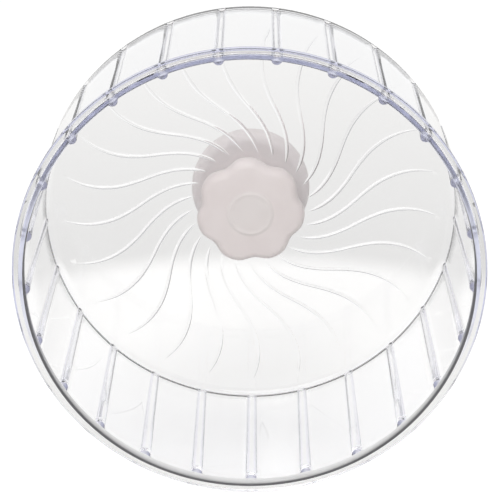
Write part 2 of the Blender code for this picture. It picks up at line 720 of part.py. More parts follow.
def add_housing(base):
    plastic = pale_plastic("base_plastic")
    cup = turned(housing_outline(), DISC_SEGMENTS)
    housing = add_object("mount_housing", cup, plastic, base, HOUSING_BACK)
    cavity = HOUSING_DEPTH - HOUSING_WALL
    hole_radius = SCREW_RADIUS + SEAT_GAP
    boss = rod_at(hole_radius + SCREW_BOSS_WALL, SEAT_GAP, cavity + HOUSING_WALL / 2)
    bosses = ring_of_copies(boss, SCREW_COUNT, SCREW_FIRST_ANGLE)
    add_boolean(housing, add_object("screw_bosses", bosses, plastic, base, HOUSING_BACK), "UNION")
    tip = SCREW_HEAD_HEIGHT + SCREW_LENGTH + SEAT_GAP - HOUSING_BACK
    holes = ring_of_copies(rod_at(hole_radius, -CUT_OVERRUN, tip), SCREW_COUNT, SCREW_FIRST_ANGLE)
    add_boolean(housing, add_object("screw_holes", holes, plastic, base, HOUSING_BACK), "DIFFERENCE")


def add_cover(base):
    plastic = pale_plastic("cover_plastic")
    outline = [
        (BOLT_BORE, 0.0), (COVER_RADIUS - COVER_BEVEL, 0.0), (COVER_RADIUS, COVER_BEVEL),
        (COVER_RADIUS, COVER_THICKNESS), (SOCKET_RADIUS, COVER_THICKNESS),
        (SOCKET_RADIUS, COVER_THICKNESS + SOCKET_HEIGHT), (BOLT_BORE, COVER_THICKNESS + SOCKET_HEIGHT),
    ]
    cover = add_object("rear_cover", turned(outline, DISC_SEGMENTS), plastic, base, 0.0)
    pocket = hexagon(BOLT_HEAD_ACROSS + 2 * SEAT_GAP, SOCKET_HEIGHT + CUT_OVERRUN)
    add_boolean(cover, add_object("head_pocket", pocket, plastic, base, COVER_THICKNESS), "DIFFERENCE")
    head_hole = rod_at(SCREW_HEAD_RADIUS + SEAT_GAP, -CUT_OVERRUN, SCREW_HEAD_HEIGHT + SEAT_GAP)
    heads = ring_of_copies(head_hole, SCREW_COUNT, SCREW_FIRST_ANGLE)
    add_boolean(cover, add_object("head_holes", heads, plastic, base, 0.0), "DIFFERENCE")
    shank_hole = rod_at(SCREW_RADIUS + SEAT_GAP, 0.0, COVER_THICKNESS + CUT_OVERRUN)
    shanks = ring_of_copies(shank_hole, SCREW_COUNT, SCREW_FIRST_ANGLE)
    add_boolean(cover, add_object("shank_holes", shanks, plastic, base, 0.0), "DIFFERENCE")


def screw_blank():
    length = SCREW_HEAD_HEIGHT + SCREW_LENGTH
    outline = [
        (0.0, 0.0), (SCREW_HEAD_RADIUS, 0.0), (SCREW_HEAD_RADIUS, SCREW_HEAD_HEIGHT),
        (SCREW_RADIUS, SCREW_HEAD_HEIGHT), (SCREW_RADIUS, length - SCREW_RADIUS), (0.0, length),
    ]
    return turned(outline, SMALL_SEGMENTS, closed=False)


def screw_slot():
    # A straight slot across the head, on the side that faces the cage.
    reach = SCREW_HEAD_RADIUS + CUT_OVERRUN
    half = SCREW_SLOT_WIDTH / 2
    corners = [(-reach, -half), (reach, -half), (reach, half), (-reach, half)]
    return lofted([
        [(across, CUT_OVERRUN, up) for across, up in corners],
        [(across, -SCREW_SLOT_DEPTH, up) for across, up in corners],
    ])


def add_screws(base):
    screw_steel = steel("screw_steel")
    for index in range(SCREW_COUNT):
        angle = math.radians(SCREW_FIRST_ANGLE + index * 360.0 / SCREW_COUNT)
        place = around_axis(angle, SCREW_CIRCLE_RADIUS, 0.0)
        screw = add_object(f"cover_screw_{index + 1}", screw_blank(), screw_steel, base, 0.0)
        slot = add_object(f"screw_slot_{index + 1}", screw_slot(), screw_steel, base, 0.0)
        screw.location = place
        slot.location = place
        add_boolean(screw, slot, "DIFFERENCE")


# Clamp


def add_bolt(base):
    bolt_steel = steel("bolt_steel")
    head = hexagon(BOLT_HEAD_ACROSS, BOLT_HEAD_HEIGHT)
    bolt = add_object("clamp_bolt", head, bolt_steel, base, BOLT_HEAD_BACK)
    length = BOLT_HEAD_BACK + BOLT_HEAD_HEIGHT / 2 - BOLT_BACK
    shank = turned(rod_outline(BOLT_RADIUS, length, BOLT_CHAMFER), SMALL_SEGMENTS, closed=False)
    add_boolean(bolt, add_object("bolt_shank", shank, bolt_steel, base, BOLT_BACK), "UNION")


def wing(side):
    # A flat wing beside the nut, with its outline in the plane of the axis.
    half = WING_THICKNESS / 2
    root = BOLT_BORE + NUT_TOP_WALL / 2
    outline = [
        (side * (root + out_share * WING_LENGTH), rise_share * WING_RISE)
        for out_share, rise_share in WING_SHARES
    ]
    return lofted([[(x, y, level) for x, y in outline] for level in (-half, half)])


def add_clamp():
    slider = add_carrier("clamp_plate_axis", -BAR_SPACE)
    boss = PLATE_BOSS_HEIGHT
    height = PLATE_BOSS_HEIGHT + PLATE_THICKNESS
    outline = [
        (BOLT_BORE, 0.0), (PLATE_BOSS_RADIUS, 0.0), (PLATE_BOSS_RADIUS, boss),
        (PLATE_RADIUS - PLATE_BEVEL, boss), (PLATE_RADIUS, boss + PLATE_BEVEL),
        (PLATE_RADIUS, height - PLATE_BEVEL), (PLATE_RADIUS - PLATE_BEVEL, height), (BOLT_BORE, height),
    ]
    plate = turned(outline, DISC_SEGMENTS)
    add_object("clamp_plate", plate, pale_plastic("plate_plastic"), slider, PLATE_BACK)

    turner = add_carrier("wing_nut_axis", WING_NUT_FRONT)
    nut_steel = steel("wing_nut_steel")
    outline = [
        (BOLT_BORE, 0.0), (BOLT_BORE + NUT_TOP_WALL, 0.0), (BOLT_BORE + NUT_BASE_WALL, NUT_HEIGHT),
        (BOLT_BORE, NUT_HEIGHT),
    ]
    nut = add_object("wing_nut", turned(outline, SMALL_SEGMENTS), nut_steel, turner, WING_NUT_BACK)
    for name, side in (("right_wing", 1.0), ("left_wing", -1.0)):
        add_boolean(nut, add_object(name, wing(side), nut_steel, turner, WING_NUT_FRONT), "UNION")


def main():
    for piece in list(bpy.data.objects):
        bpy.data.objects.remove(piece, do_unlink=True)
    base = add_carrier("base_axis", 0.0)
    wheel = add_carrier("wheel_axis", 0.0)
    add_housing(base)
    add_cover(base)
    add_screws(base)
    add_bolt(base)
    add_bearings(base, wheel)
    add_axle(wheel)
    add_hub(wheel)
    add_drum(wheel)
    add_knob()
    add_clamp()


main()
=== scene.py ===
import math

import bmesh
import bpy
import numpy as np
from mathutils import Matrix, Vector


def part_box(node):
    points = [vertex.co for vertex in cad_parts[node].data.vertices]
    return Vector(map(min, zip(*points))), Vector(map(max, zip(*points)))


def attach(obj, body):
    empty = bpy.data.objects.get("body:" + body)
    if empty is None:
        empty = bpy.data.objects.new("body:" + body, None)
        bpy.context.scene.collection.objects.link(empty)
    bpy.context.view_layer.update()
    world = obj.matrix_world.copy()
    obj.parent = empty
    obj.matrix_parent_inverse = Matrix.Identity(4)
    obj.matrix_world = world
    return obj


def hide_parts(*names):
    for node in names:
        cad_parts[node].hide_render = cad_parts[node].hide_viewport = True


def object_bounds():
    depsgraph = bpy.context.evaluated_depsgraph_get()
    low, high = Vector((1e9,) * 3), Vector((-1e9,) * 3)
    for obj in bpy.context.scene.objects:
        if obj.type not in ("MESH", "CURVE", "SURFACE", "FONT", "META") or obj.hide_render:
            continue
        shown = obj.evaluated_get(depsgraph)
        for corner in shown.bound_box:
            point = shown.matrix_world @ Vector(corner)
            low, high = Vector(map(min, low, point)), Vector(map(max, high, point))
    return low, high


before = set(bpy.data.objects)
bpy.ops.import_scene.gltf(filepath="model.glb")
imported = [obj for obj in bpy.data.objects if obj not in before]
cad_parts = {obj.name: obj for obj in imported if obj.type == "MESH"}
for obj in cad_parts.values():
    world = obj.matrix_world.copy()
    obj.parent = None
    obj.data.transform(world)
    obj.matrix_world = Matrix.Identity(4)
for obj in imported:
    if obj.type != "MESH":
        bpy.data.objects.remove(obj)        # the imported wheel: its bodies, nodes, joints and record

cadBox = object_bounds()
print("packed wheel loaded,", len(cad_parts), "nodes")


# Angles run from +X towards +Z. "Ahead" is the distance in front of the cage face, so it is -Y.

def onWheel(radius, angle, ahead):
    return np.stack([radius * np.cos(angle), -ahead + 0.0 * angle, radius * np.sin(angle)], axis=-1)


def reach(node):
    # outer radius, back and front of a node that lies round the wheel's axis
    low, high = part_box(node)
    return high.x, -high.y, -low.y


def arc(radius, ahead, rounding, start, end, steps):
    # a rounding or fillet in place of the sharp corner at (radius, ahead);
    # 0 degrees points outwards and 90 ahead
    middle = math.radians((start + end) / 2)
    radius -= math.copysign(rounding, math.cos(middle))
    ahead -= math.copysign(rounding, math.sin(middle))
    turns = np.radians(np.linspace(start, end, steps + 1))
    return [(radius + rounding * math.cos(t), ahead + rounding * math.sin(t)) for t in turns]


def rounded(radius, back, front, edge, steps):
    # the outer side of a turned piece, its two edges broken by a rounding
    return arc(radius, back, edge, -90.0, 0.0, steps) + arc(radius, front, edge, 0.0, 90.0, steps)


def rod(radius, back, front):
    # outline of a plain solid rod
    return [(0.0, back), (radius, back), (radius, front), (0.0, front)]


def evenly(count):
    return np.linspace(0.0, 1.0, count)


def eased(t):
    return t * t * (3 - 2 * t)


def between(limits, share):
    return limits[0] + (limits[1] - limits[0]) * share


def middleOf(node):
    low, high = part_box(node)
    return (low + high) / 2


def placed(name, data):
    thing = bpy.data.objects.new(name, data)
    scene.collection.objects.link(thing)
    return thing


def meshPiece(name, points, faces, sharp=30.0):
    mesh = bpy.data.meshes.new(name)
    mesh.from_pydata([tuple(p) for p in points], [], faces)
    shape = bmesh.new()
    shape.from_mesh(mesh)
    bmesh.ops.remove_doubles(shape, verts=shape.verts, dist=0.000001)
    bmesh.ops.recalc_face_normals(shape, faces=shape.faces)
    if shape.calc_volume(signed=True) < 0:
        bmesh.ops.reverse_faces(shape, faces=shape.faces)
    shape.to_mesh(mesh)
    shape.free()
    mesh.shade_smooth()
    mesh.set_sharp_from_angle(angle=math.radians(sharp))
    return placed(name, mesh)


def gridFaces(rings, columns, closed):
    # quads between rings of equal length; a closed grid joins its last ring to its first
    faces = []
    for ring in range(rings if closed else rings - 1):
        here = ring * columns
        there = (ring + 1) % rings * columns
        for column in range(columns):
            after = (column + 1) % columns
            faces.append((here + column, here + after, there + after, there + column))
    return faces


def gridPiece(name, rings, sharp=30.0):
    # a closed shell from rings of points, each ring going round the axis
    faces = gridFaces(len(rings), len(rings[0]), True)
    return meshPiece(name, np.concatenate(rings), faces, sharp)


def solidPiece(name, rings, sharp=30.0):
    # the same without a bore: the first and last ring are closed by fans
    count, columns = len(rings), len(rings[0])
    points = [tuple(p) for p in np.concatenate(rings)]
    points += [(0.0, points[0][1], 0.0), (0.0, points[-1][1], 0.0)]
    faces = gridFaces(count, columns, False)
    last = (count - 1) * columns
    for column in range(columns):
        after = (column + 1) % columns
        faces.append((len(points) - 2, after, column))
        faces.append((len(points) - 1, last + column, last + after))
    return meshPiece(name, points, faces, sharp)


def roundAngles(count):
    return np.linspace(0.0, math.tau, count, endpoint=False)


def ringsOf(outline, angles):
    return [onWheel(radius, angles, ahead) for radius, ahead in outline]


def turnedPiece(name, outline, segments=96, sharp=30.0):
    # a turned piece with a bore, or a solid one if its outline starts and ends on the axis
    if outline[0][0] == 0.0:
        return solidPiece(name, ringsOf(outline[1:-1], roundAngles(segments)), sharp)
    return gridPiece(name, ringsOf(outline, roundAngles(segments)), sharp)


def sleeve(bore, radius, back, front, edge):
    # outline of a plain ring whose four edges are broken by a small rounding
    outline = rounded(radius, back, front, edge, 3)
    return outline + arc(bore, front, edge, 90.0, 180.0, 3) + arc(bore, back, edge, 180.0, 270.0, 3)


def applyModifiers(piece):
    graph = bpy.context.evaluated_depsgraph_get()
    mesh = bpy.data.meshes.new_from_object(piece.evaluated_get(graph))
    piece.modifiers.clear()
    piece.data = mesh
    mesh.shade_smooth()
    mesh.set_sharp_from_angle(angle=math.radians(35.0))


def cut(piece, cutter, operation="DIFFERENCE"):
    step = piece.modifiers.new("cut", "BOOLEAN")
    step.operation = operation
    step.solver = "EXACT"
    step.object = cutter
    applyModifiers(piece)
    bpy.data.objects.remove(cutter)


def shifted(piece, x, z):
    piece.data.transform(Matrix.Translation((x, 0.0, z)))
    return piece


def mount(piece, material, body, slot, *nodes):
    # gives a piece its finish and the body it rides on, and hides the CAD nodes it stands for
    piece.data.materials.append(material)
    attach(piece, body)
    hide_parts(*nodes)
    return piece


scene = bpy.context.scene

# Camera: a little above the wheel's axis, square to the open front

view = {
    "target": (-0.00008, -0.1413, 0.0), "distance": 1.9353, "turn": 0.0046, "tilt": 0.3664,
    "lens": 202.43, "sensor": 36.0, "shift": (0.00055, 0.003),
}


def makeCamera():
    data = bpy.data.cameras.new("photoCamera")
    data.lens = view["lens"]
    data.sensor_width = view["sensor"]
    data.shift_x, data.shift_y = view["shift"]
    camera = placed("photoCamera", data)
    turn, tilt = view["turn"], view["tilt"]
    back = Vector((math.sin(turn) * math.cos(tilt), -math.cos(turn) * math.cos(tilt), math.sin(tilt)))
    camera.location = Vector(view["target"]) + back * view["distance"]
    camera.rotation_euler = back.to_track_quat("Z", "Y").to_euler()
    scene.camera = camera


makeCamera()
print("camera set")


# Materials

def newMaterial(name):
    material = bpy.data.materials.new(name)
    material.use_nodes = True
    tree = material.node_tree
    return material, tree, tree.nodes["Principled BSDF"]


def fill(tree, node, inputs):
    # each input takes a socket, a number, a vector or a plain colour
    for key, value in inputs.items():
        socket = node.inputs[key]
        if isinstance(value, bpy.types.NodeSocket):
            tree.links.new(value, socket)
        else:
            socket.default_value = (*value, 1.0) if socket.type == "RGBA" else value
    return node


def addNode(tree, kind, inputs=None, **settings):
    node = tree.nodes.new(kind)
    for key, value in settings.items():
        setattr(node, key, value)
    return fill(tree, node, inputs or {})


def combine(tree, operation, first, second=0.0):
    return addNode(tree, "ShaderNodeMath", {0: first, 1: second}, operation=operation).outputs[0]


def below(tree, value, limit):
    return combine(tree, "LESS_THAN", value, limit)


def above(tree, value, limit):
    return combine(tree, "GREATER_THAN", value, limit)


def vectorMath(tree, operation, first, second=(0.0, 0.0, 0.0)):
    node = addNode(tree, "ShaderNodeVectorMath", {0: first, 1: second}, operation=operation)
    return node.outputs["Value" if operation in ("LENGTH", "DOT_PRODUCT") else "Vector"]


def axisOf(tree, vector, axis):
    return addNode(tree, "ShaderNodeSeparateXYZ", {0: vector}).outputs[axis]


def rays(tree, *kinds):
    # 1 for rays of any of these kinds
    path = addNode(tree, "ShaderNodeLightPath")
    result = path.outputs[kinds[0]]
    for kind in kinds[1:]:
        result = combine(tree, "MAXIMUM", result, path.outputs[kind])
    return result


def remapped(tree, source, start, end, low=0.0, high=1.0, smooth=False):
    limits = {"Value": source, "From Min": start, "From Max": end, "To Min": low, "To Max": high}
    kind = "SMOOTHSTEP" if smooth else "LINEAR"
    return addNode(tree, "ShaderNodeMapRange", limits, interpolation_type=kind).outputs["Result"]


def blended(tree, share, first, second, mode="MIX"):
    # colour from the first to the second, by a share
    colours = {0: share, 6: first, 7: second}
    return addNode(tree, "ShaderNodeMix", colours, data_type="RGBA", blend_type=mode).outputs[2]


def axleDistance(tree):
    # distance from the wheel's axis, and place along it, in the piece's own space
    own = addNode(tree, "ShaderNodeTexCoord").outputs["Object"]
    flat = vectorMath(tree, "MULTIPLY", own, (1.0, 0.0, 1.0))
    return vectorMath(tree, "LENGTH", flat), axisOf(tree, own, "Y")


def noiseAt(tree, source, size, detail):
    # a noise whose grains are about as large as size
    values = {"Vector": source, "Scale": 1.0 / size, "Detail": detail}
    return addNode(tree, "ShaderNodeTexNoise", values).outputs["Fac"]


def noiseOf(tree, size, detail):
    # the same in the piece's own space
    return noiseAt(tree, addNode(tree, "ShaderNodeTexCoord").outputs["Object"], size, detail)


def spread(tree, source, low, high):
    return remapped(tree, source, 0.3, 0.7, low, high)


def bumpOf(tree, source, height, strength=1.0):
    values = {"Height": source, "Distance": height, "Strength": strength}
    return addNode(tree, "ShaderNodeBump", values).outputs["Normal"]


clear = {
    "tint": (0.995, 0.997, 1.0), "ior": 1.55, "density": 4.2, "absorbs": (0.30, 0.33, 0.64),
    "scuffSize": 0.02, "roughness": (0.0, 0.012), "waveSize": 0.03, "waveHeight": 0.00002,
    "shade": 0.96,      # how much lamp light one face lets through
    # the curved lip of the mouth gathers dark and blue light, painted into its tint: blue above, a dark line
    # of painted shade that widens below
    "lipRadii": (0.1510, 0.1514, 0.1554, 0.1557), "lipBack": 0.1855, "lipPaintedBlue": (0.72, 0.755, 1.0),
    "blueHeights": (-0.09, 0.0), "lipPaintedShade": (0.015, 0.015, 0.017), "darkHeights": (-0.14, 0.08),
    "darkRadii": (0.1557, 0.1517), "darkCrisp": 0.0002, "darkFade": (0.0016, 0.0046), "lipFrost": 0.28,
    # faces that look forward: the rim's front with painted grey shade, and the frosted ends of the treads
    # with painted lavender light
    "forward": -0.6, "rimFace": (0.1556, 0.1558), "rimPaintedShade": (0.90, 0.90, 0.89),
    "endReach": 0.1518, "endAhead": 0.18, "endPaintedLavender": (0.76, 0.76, 0.92), "endFrost": 0.35,
    # the rim's outer edge, painted blue light where it is high
    "rimEdge": 0.1588, "edgePaintedBlue": (0.60, 0.62, 0.86),
    # the painted shade on one flank of a ridge: direction it faces, how steep, colour of the painted shade
    "flankWay": (0.45, 0.0, -0.9), "flankSteep": (0.22, 0.50), "flankPaintedShade": (0.30, 0.30, 0.31),
    "flankWithin": 0.138, "flankBehind": -0.0560,
    # the treads' flanks are slightly frosted and get a faint painted bluish shade: how far they lean from the
    # drum's side, and where
    "leanShares": (0.985, 0.90), "sideways": 0.3, "treadFrost": 0.16, "treadPaintedBlueShade": (0.95, 0.95, 1.0),
    "treadsOutside": 0.1395, "treadsAhead": 0.185,
}


def every(tree, *conditions):
    # 1 where all of the conditions hold
    result = conditions[0]
    for condition in conditions[1:]:
        result = combine(tree, "MULTIPLY", result, condition)
    return result


def tintWithPaintedLight(tree):
    # tint of the plastic with painted light and shade laid over it from place to place, and how frosted it is
    radius, depth = axleDistance(tree)
    # the painted light and shade stand for the surroundings, which don't turn with the wheel, so heights and
    # slopes are measured in their frame
    fixed = addNode(tree, "ShaderNodeNewGeometry")
    place, normal = fixed.outputs["Position"], fixed.outputs["Normal"]
    height, ahead = axisOf(tree, place, "Z"), axisOf(tree, normal, "Y")
    forward = below(tree, ahead, clear["forward"])
    # curved lip: painted blue light above, a painted dark line of shade below
    inner, innerFull, outerFull, outer = clear["lipRadii"]
    band = every(
        tree, remapped(tree, radius, inner, innerFull), remapped(tree, radius, outerFull, outer, 1.0, 0.0),
        below(tree, depth, -clear["lipBack"]),
    )
    blue = remapped(tree, height, *clear["blueHeights"], smooth=True)
    line = remapped(tree, height, *clear["darkHeights"], *clear["darkRadii"])
    edge = combine(tree, "SUBTRACT", line, radius)
    crisp = remapped(tree, edge, 0.0, clear["darkCrisp"])
    dark = every(tree, crisp, remapped(tree, edge, *clear["darkFade"], 1.0, 0.0))
    # painted blue light towards the top, then the painted dark line of shade that widens downwards
    tint = blended(tree, blue, clear["tint"], clear["lipPaintedBlue"])
    tint = blended(tree, band, clear["tint"], blended(tree, dark, tint, clear["lipPaintedShade"]))
    # painted light and shade on the front and outer edge of the rim and on the end faces of the treads
    face = every(tree, remapped(tree, radius, *clear["rimFace"]), forward)
    # painted blue light on the upper part of the rim's outer edge
    upperEdge = every(tree, above(tree, radius, clear["rimEdge"]), blue)
    # the tread ends get painted lavender light as well as frost
    treadEnd = every(
        tree, forward, below(tree, radius, clear["endReach"]), below(tree, depth, -clear["endAhead"]),
    )
    # painted shade on the flanks of the ridges on the back wall that face one way
    slant = vectorMath(tree, "DOT_PRODUCT", normal, clear["flankWay"])
    ridgeFlank = every(
        tree, remapped(tree, slant, *clear["flankSteep"]), below(tree, radius, clear["flankWithin"]),
        above(tree, depth, clear["flankBehind"]),
    )
    # flanks of the treads, inside and outside: neither square to the axle nor round it; they get a faint
    # painted bluish shade
    outwards = vectorMath(tree, "NORMALIZE", vectorMath(tree, "MULTIPLY", place, (1.0, 0.0, 1.0)))
    lean = combine(tree, "ABSOLUTE", vectorMath(tree, "DOT_PRODUCT", outwards, normal))
    treadFlank = every(
        tree, remapped(tree, lean, *clear["leanShares"]),
        below(tree, combine(tree, "ABSOLUTE", ahead), clear["sideways"]),
        above(tree, radius, clear["treadsOutside"]), above(tree, depth, -clear["treadsAhead"]),
    )
    # lay the painted light and shade over the plastic's own tint
    for part, colour in (
        (face, "rimPaintedShade"), (upperEdge, "edgePaintedBlue"), (treadEnd, "endPaintedLavender"), (ridgeFlank, "flankPaintedShade"),
        (treadFlank, "treadPaintedBlueShade"),
    ):
        tint = blended(tree, part, tint, clear[colour])
    frost = combine(tree, "MULTIPLY", treadEnd, clear["endFrost"])
    for part, share in ((band, clear["lipFrost"]), (treadFlank, clear["treadFrost"])):
        frost = combine(tree, "ADD", frost, combine(tree, "MULTIPLY", part, share))
    return tint, frost


def clearPlastic():
    material, tree, shader = newMaterial("clearPlastic")
    tint, frost = tintWithPaintedLight(tree)
    scuffs = spread(tree, noiseOf(tree, clear["scuffSize"], 6.0), *clear["roughness"])
    fill(tree, shader, {
        "Base Color": tint, "Roughness": combine(tree, "ADD", scuffs, frost),
        "Transmission Weight": 1.0, "IOR": clear["ior"],
        "Normal": bumpOf(tree, noiseOf(tree, clear["waveSize"], 1.0), clear["waveHeight"]),
    })
    # lamps shine through it, so what stands behind is lit
    passing = addNode(tree, "ShaderNodeBsdfTransparent", {"Color": (clear["shade"],) * 3})
    mix = addNode(tree, "ShaderNodeMixShader", {
        0: rays(tree, "Is Shadow Ray"), 1: shader.outputs["BSDF"], 2: passing.outputs["BSDF"],
    })
    inside = addNode(tree, "ShaderNodeVolumeAbsorption", {
        "Color": clear["absorbs"], "Density": clear["density"],
    })
    fill(tree, tree.nodes["Material Output"], {
        "Surface": mix.outputs["Shader"], "Volume": inside.outputs["Volume"],
    })
    return material


plastic = {
    "cloudSize": 0.02, "cloudDetail": 4.0, "markSize": 0.0005, "markDetail": 2.0, "markHeight": 0.00004,
    "markStrength": 0.4, "uneven": 0.05, "shine": 0.35, "metallic": 0.0,
}
metal = {
    "cloudSize": 0.006, "cloudDetail": 5.0, "markSize": 0.0012, "markDetail": 6.0, "markHeight": 0.000012,
    "markStrength": 0.6, "uneven": 0.08, "shine": 0.5, "metallic": 1.0, "ringSize": 0.00025,
}


def turningMarks(tree, size):
    # fine rings round the wheel's axis, as a lathe or grinder leaves them
    radius, depth = axleDistance(tree)
    join = addNode(tree, "ShaderNodeCombineXYZ", {"X": radius, "Y": depth})
    return noiseAt(tree, join.outputs[0], size, 2.0)


def surface(name, look, paler, darker, roughness, turnedFinish=False):
    # faint clouds of colour under fine marks: spark-eroded grain, scratches, or a lathe's rings
    material, tree, shader = newMaterial(name)
    clouds = spread(tree, noiseOf(tree, look["cloudSize"], look["cloudDetail"]), 0.0, 1.0)
    if turnedFinish:
        marks = turningMarks(tree, look["ringSize"])
    else:
        marks = noiseOf(tree, look["markSize"], look["markDetail"])
    fill(tree, shader, {
        "Base Color": blended(tree, clouds, darker, paler), "Metallic": look["metallic"],
        "Specular IOR Level": look["shine"],
        "Roughness": spread(tree, marks, roughness - look["uneven"], roughness + look["uneven"]),
        "Normal": bumpOf(tree, marks, look["markHeight"], look["markStrength"]),
    })
    return material


def nylonPlastic():
    material = surface("naturalNylon", plastic, (0.78, 0.76, 0.70), (0.73, 0.71, 0.65), 0.5)
    tree = material.node_tree
    fill(tree, tree.nodes["Principled BSDF"], {"Subsurface Weight": 0.3, "Subsurface Scale": 0.001})
    return material


clearMaterial = clearPlastic()
knobMaterial = surface("knobPlastic", plastic, (0.80, 0.735, 0.72), (0.77, 0.70, 0.685), 0.42)
discMaterial = surface("discPlastic", plastic, (0.785, 0.732, 0.714), (0.755, 0.698, 0.68), 0.42)
# painted light: the base plastic is made paler than the knob's, to lift the shade it stands in behind the
# drum
shadeLiftedBaseMaterial = surface("basePlasticLightened", plastic, (0.83, 0.775, 0.765), (0.80, 0.74, 0.73), 0.45)
nylonMaterial = nylonPlastic()
zincMaterial = surface("zincPlatedSteel", metal, (0.66, 0.66, 0.64), (0.52, 0.53, 0.53), 0.32)
groundMaterial = surface("groundSteel", metal, (0.72, 0.72, 0.72), (0.60, 0.60, 0.61), 0.18, True)
brassMaterial = surface("turnedBrass", metal, (0.80, 0.60, 0.28), (0.66, 0.48, 0.20), 0.28, True)
print("materials made")


# Drum: side, rim, treads, back wall and its swirl ridges are one clear moulding

drum = {
    "wall": 0.0025, "mouthWall": 0.003, "mouthRadius": 0.1517, "taper": 0.0049, "bore": 0.0083,
    "rimLength": 0.0065, "rimRounding": 0.0012, "lipRounding": 0.0035, "rimFillet": 0.0024,
    "innerCorner": 0.0055, "outerCorner": 0.0025,
    "treadCount": 25, "treadFirst": 270.47, "treadHeight": (0.0015, 0.0031), "treadWidth": (0.0060, 0.0070),
    "treadSetback": 0.0042, "hollowWall": 0.0014, "hollowFront": 0.0030, "hollowBack": 0.0060,
    "ridgeFirst": 240.5, "ridgeTurn": 32.5, "ridgeInner": 0.0417, "ridgeOuter": 0.1337,
    "ridgeWidth": 0.0026, "ridgeHeight": 0.00125,
    "gapColumns": 7, "ridgeRings": 40, "sideRings": 9, "backRings": 11,
    "wallRings": (0.012, 0.020, 0.030, 0.038), "hollowRings": (0.035, 0.07, 0.10),
    # how far before a tread's end, share of its height
    "treadStops": ((0.0002, 0.985), (0.00006, 0.94), (0.0, 0.0), (-0.0002, 0.0)),
    # how far along where a hollow opens and where it closes, share of its depth
    "hollowOpens": ((0.0, 0.0), (0.0002, 0.55), (0.0005, 0.9), (0.0009, 1.0)),
    "hollowEnds": ((0.0, 1.0), (0.0012, 0.94), (0.0022, 0.75), (0.003, 0.4), (0.0036, 0.0)),
}
# Across a tread: share of its half width, share of its height
treadShares = (
    (1.28, 0.00), (1.14, 0.05), (1.00, 0.19), (0.91, 0.35), (0.80, 0.53), (0.67, 0.70), (0.51, 0.84),
    (0.33, 0.94), (0.16, 0.985), (0.00, 1.00),
)
# Along a ridge: share of the way out, share of the turn, share of the width and height
ridgeShares = (
    (0.00, 0.00, 0.05), (0.03, 0.054, 0.45), (0.07, 0.125, 0.75), (0.17, 0.315, 1.00),
    (0.30, 0.575, 1.00), (0.43, 0.80, 0.97), (0.56, 0.935, 0.92), (0.70, 0.995, 0.82),
    (0.84, 0.995, 0.62), (0.94, 0.965, 0.38), (0.98, 0.948, 0.22), (1.00, 0.94, 0.05),
)


def smoothThrough(shares, column, at):
    # a smooth curve through the points of a table of shares
    x = np.array([row[0] for row in shares])
    y = np.array([row[column] for row in shares])
    slope = np.gradient(y, x)
    index = np.clip(np.searchsorted(x, at) - 1, 0, len(x) - 2)
    width = x[index + 1] - x[index]
    t = np.clip((at - x[index]) / width, 0.0, 1.0)
    return (
        (2 * t ** 3 - 3 * t ** 2 + 1) * y[index] + (t ** 3 - 2 * t ** 2 + t) * width * slope[index]
        + (3 * t ** 2 - 2 * t ** 3) * y[index + 1] + (t ** 3 - t ** 2) * width * slope[index + 1]
    )


def plainRings(points):
    return [(radius, ahead, "plain", 0.0) for radius, ahead in points]


def drumProfile(back, front, rim):
    # rings as (radius, ahead, part, share) from the bore's front out along the inside and back outside
    d = drum
    floor = back + d["wall"]
    mouth = d["mouthRadius"]
    floorRadius = mouth - d["taper"]
    treadEnd = front - d["treadSetback"]
    rimBack = front - d["rimLength"]
    slope = d["taper"] / (front - floor)
    rings = plainRings((radius, floor) for radius in (d["bore"], *d["wallRings"]))
    rings += [
        (between((d["ridgeInner"], d["ridgeOuter"]), eased(t)), floor, "ridge", 1.0)
        for t in evenly(d["ridgeRings"])
    ]
    rings += plainRings([(0.5 * (d["ridgeOuter"] + (floorRadius - d["innerCorner"])), floor)])
    corner = arc(floorRadius, floor, d["innerCorner"], -90.0, 0.0, 10)
    rings += [(radius, ahead, "tread", 1.0) for radius, ahead in corner]
    start = corner[-1][1]
    for t in evenly(d["sideRings"] + 1)[1:]:
        ahead = start + (treadEnd - 0.0005 - start) * t
        rings.append((mouth - slope * (front - ahead), ahead, "tread", 1.0))
    for before, share in d["treadStops"]:
        radius = mouth - slope * (d["treadSetback"] + before)
        rings.append((radius, treadEnd - before, "tread", share))
    rings += plainRings(arc(mouth, front, d["lipRounding"], 180.0, 90.0, 12))
    rings += plainRings(arc(rim, front, d["rimRounding"], 90.0, 0.0, 5))
    rings += plainRings(arc(rim, rimBack, d["rimRounding"], 0.0, -90.0, 5))
    rings += plainRings(arc(mouth + d["mouthWall"], rimBack, d["rimFillet"], 90.0, 180.0, 5))
    radius, ahead = rings[-1][:2]
    corner = arc(floorRadius + d["wall"], back, d["outerCorner"], 0.0, -90.0, 8)
    length = ahead - corner[0][1]
    hollow = [(d["hollowFront"] + shift, share) for shift, share in d["hollowOpens"]]
    hollow += [(along, 1.0) for along in d["hollowRings"]]
    hollow += [(length - d["hollowBack"] + shift, share) for shift, share in d["hollowEnds"]]
    for along, share in hollow:
        outer = radius + (corner[0][0] - radius) * (along / length)
        rings.append((outer, ahead - along, "outside", share))
    outer = floorRadius + d["wall"] - d["outerCorner"]
    steps = evenly(d["backRings"] + 1)[1:]
    return rings + plainRings(corner) + plainRings((outer + (d["bore"] - outer) * t, back) for t in steps)


def acrossTread(share, wall=None):
    # offsets across a tread and its rise, at a share of the way from the back wall to the mouth;
    # with a wall given, the outer side of the hollow tread
    d = drum
    width, height = between(d["treadWidth"], share), between(d["treadHeight"], share ** 3)
    table = [(-u, rise) for u, rise in treadShares] + [(u, rise) for u, rise in treadShares[-2::-1]]
    x = np.array([u for u, _ in table]) * width / 2
    y = np.array([rise for _, rise in table]) * height
    if wall is None:
        return x, y
    slope = np.gradient(y, x)
    slope[0] = slope[-1] = 0.0
    size = np.sqrt(1.0 + slope ** 2)
    return x + wall * slope / size, y + wall * (1.0 - 1.0 / size)


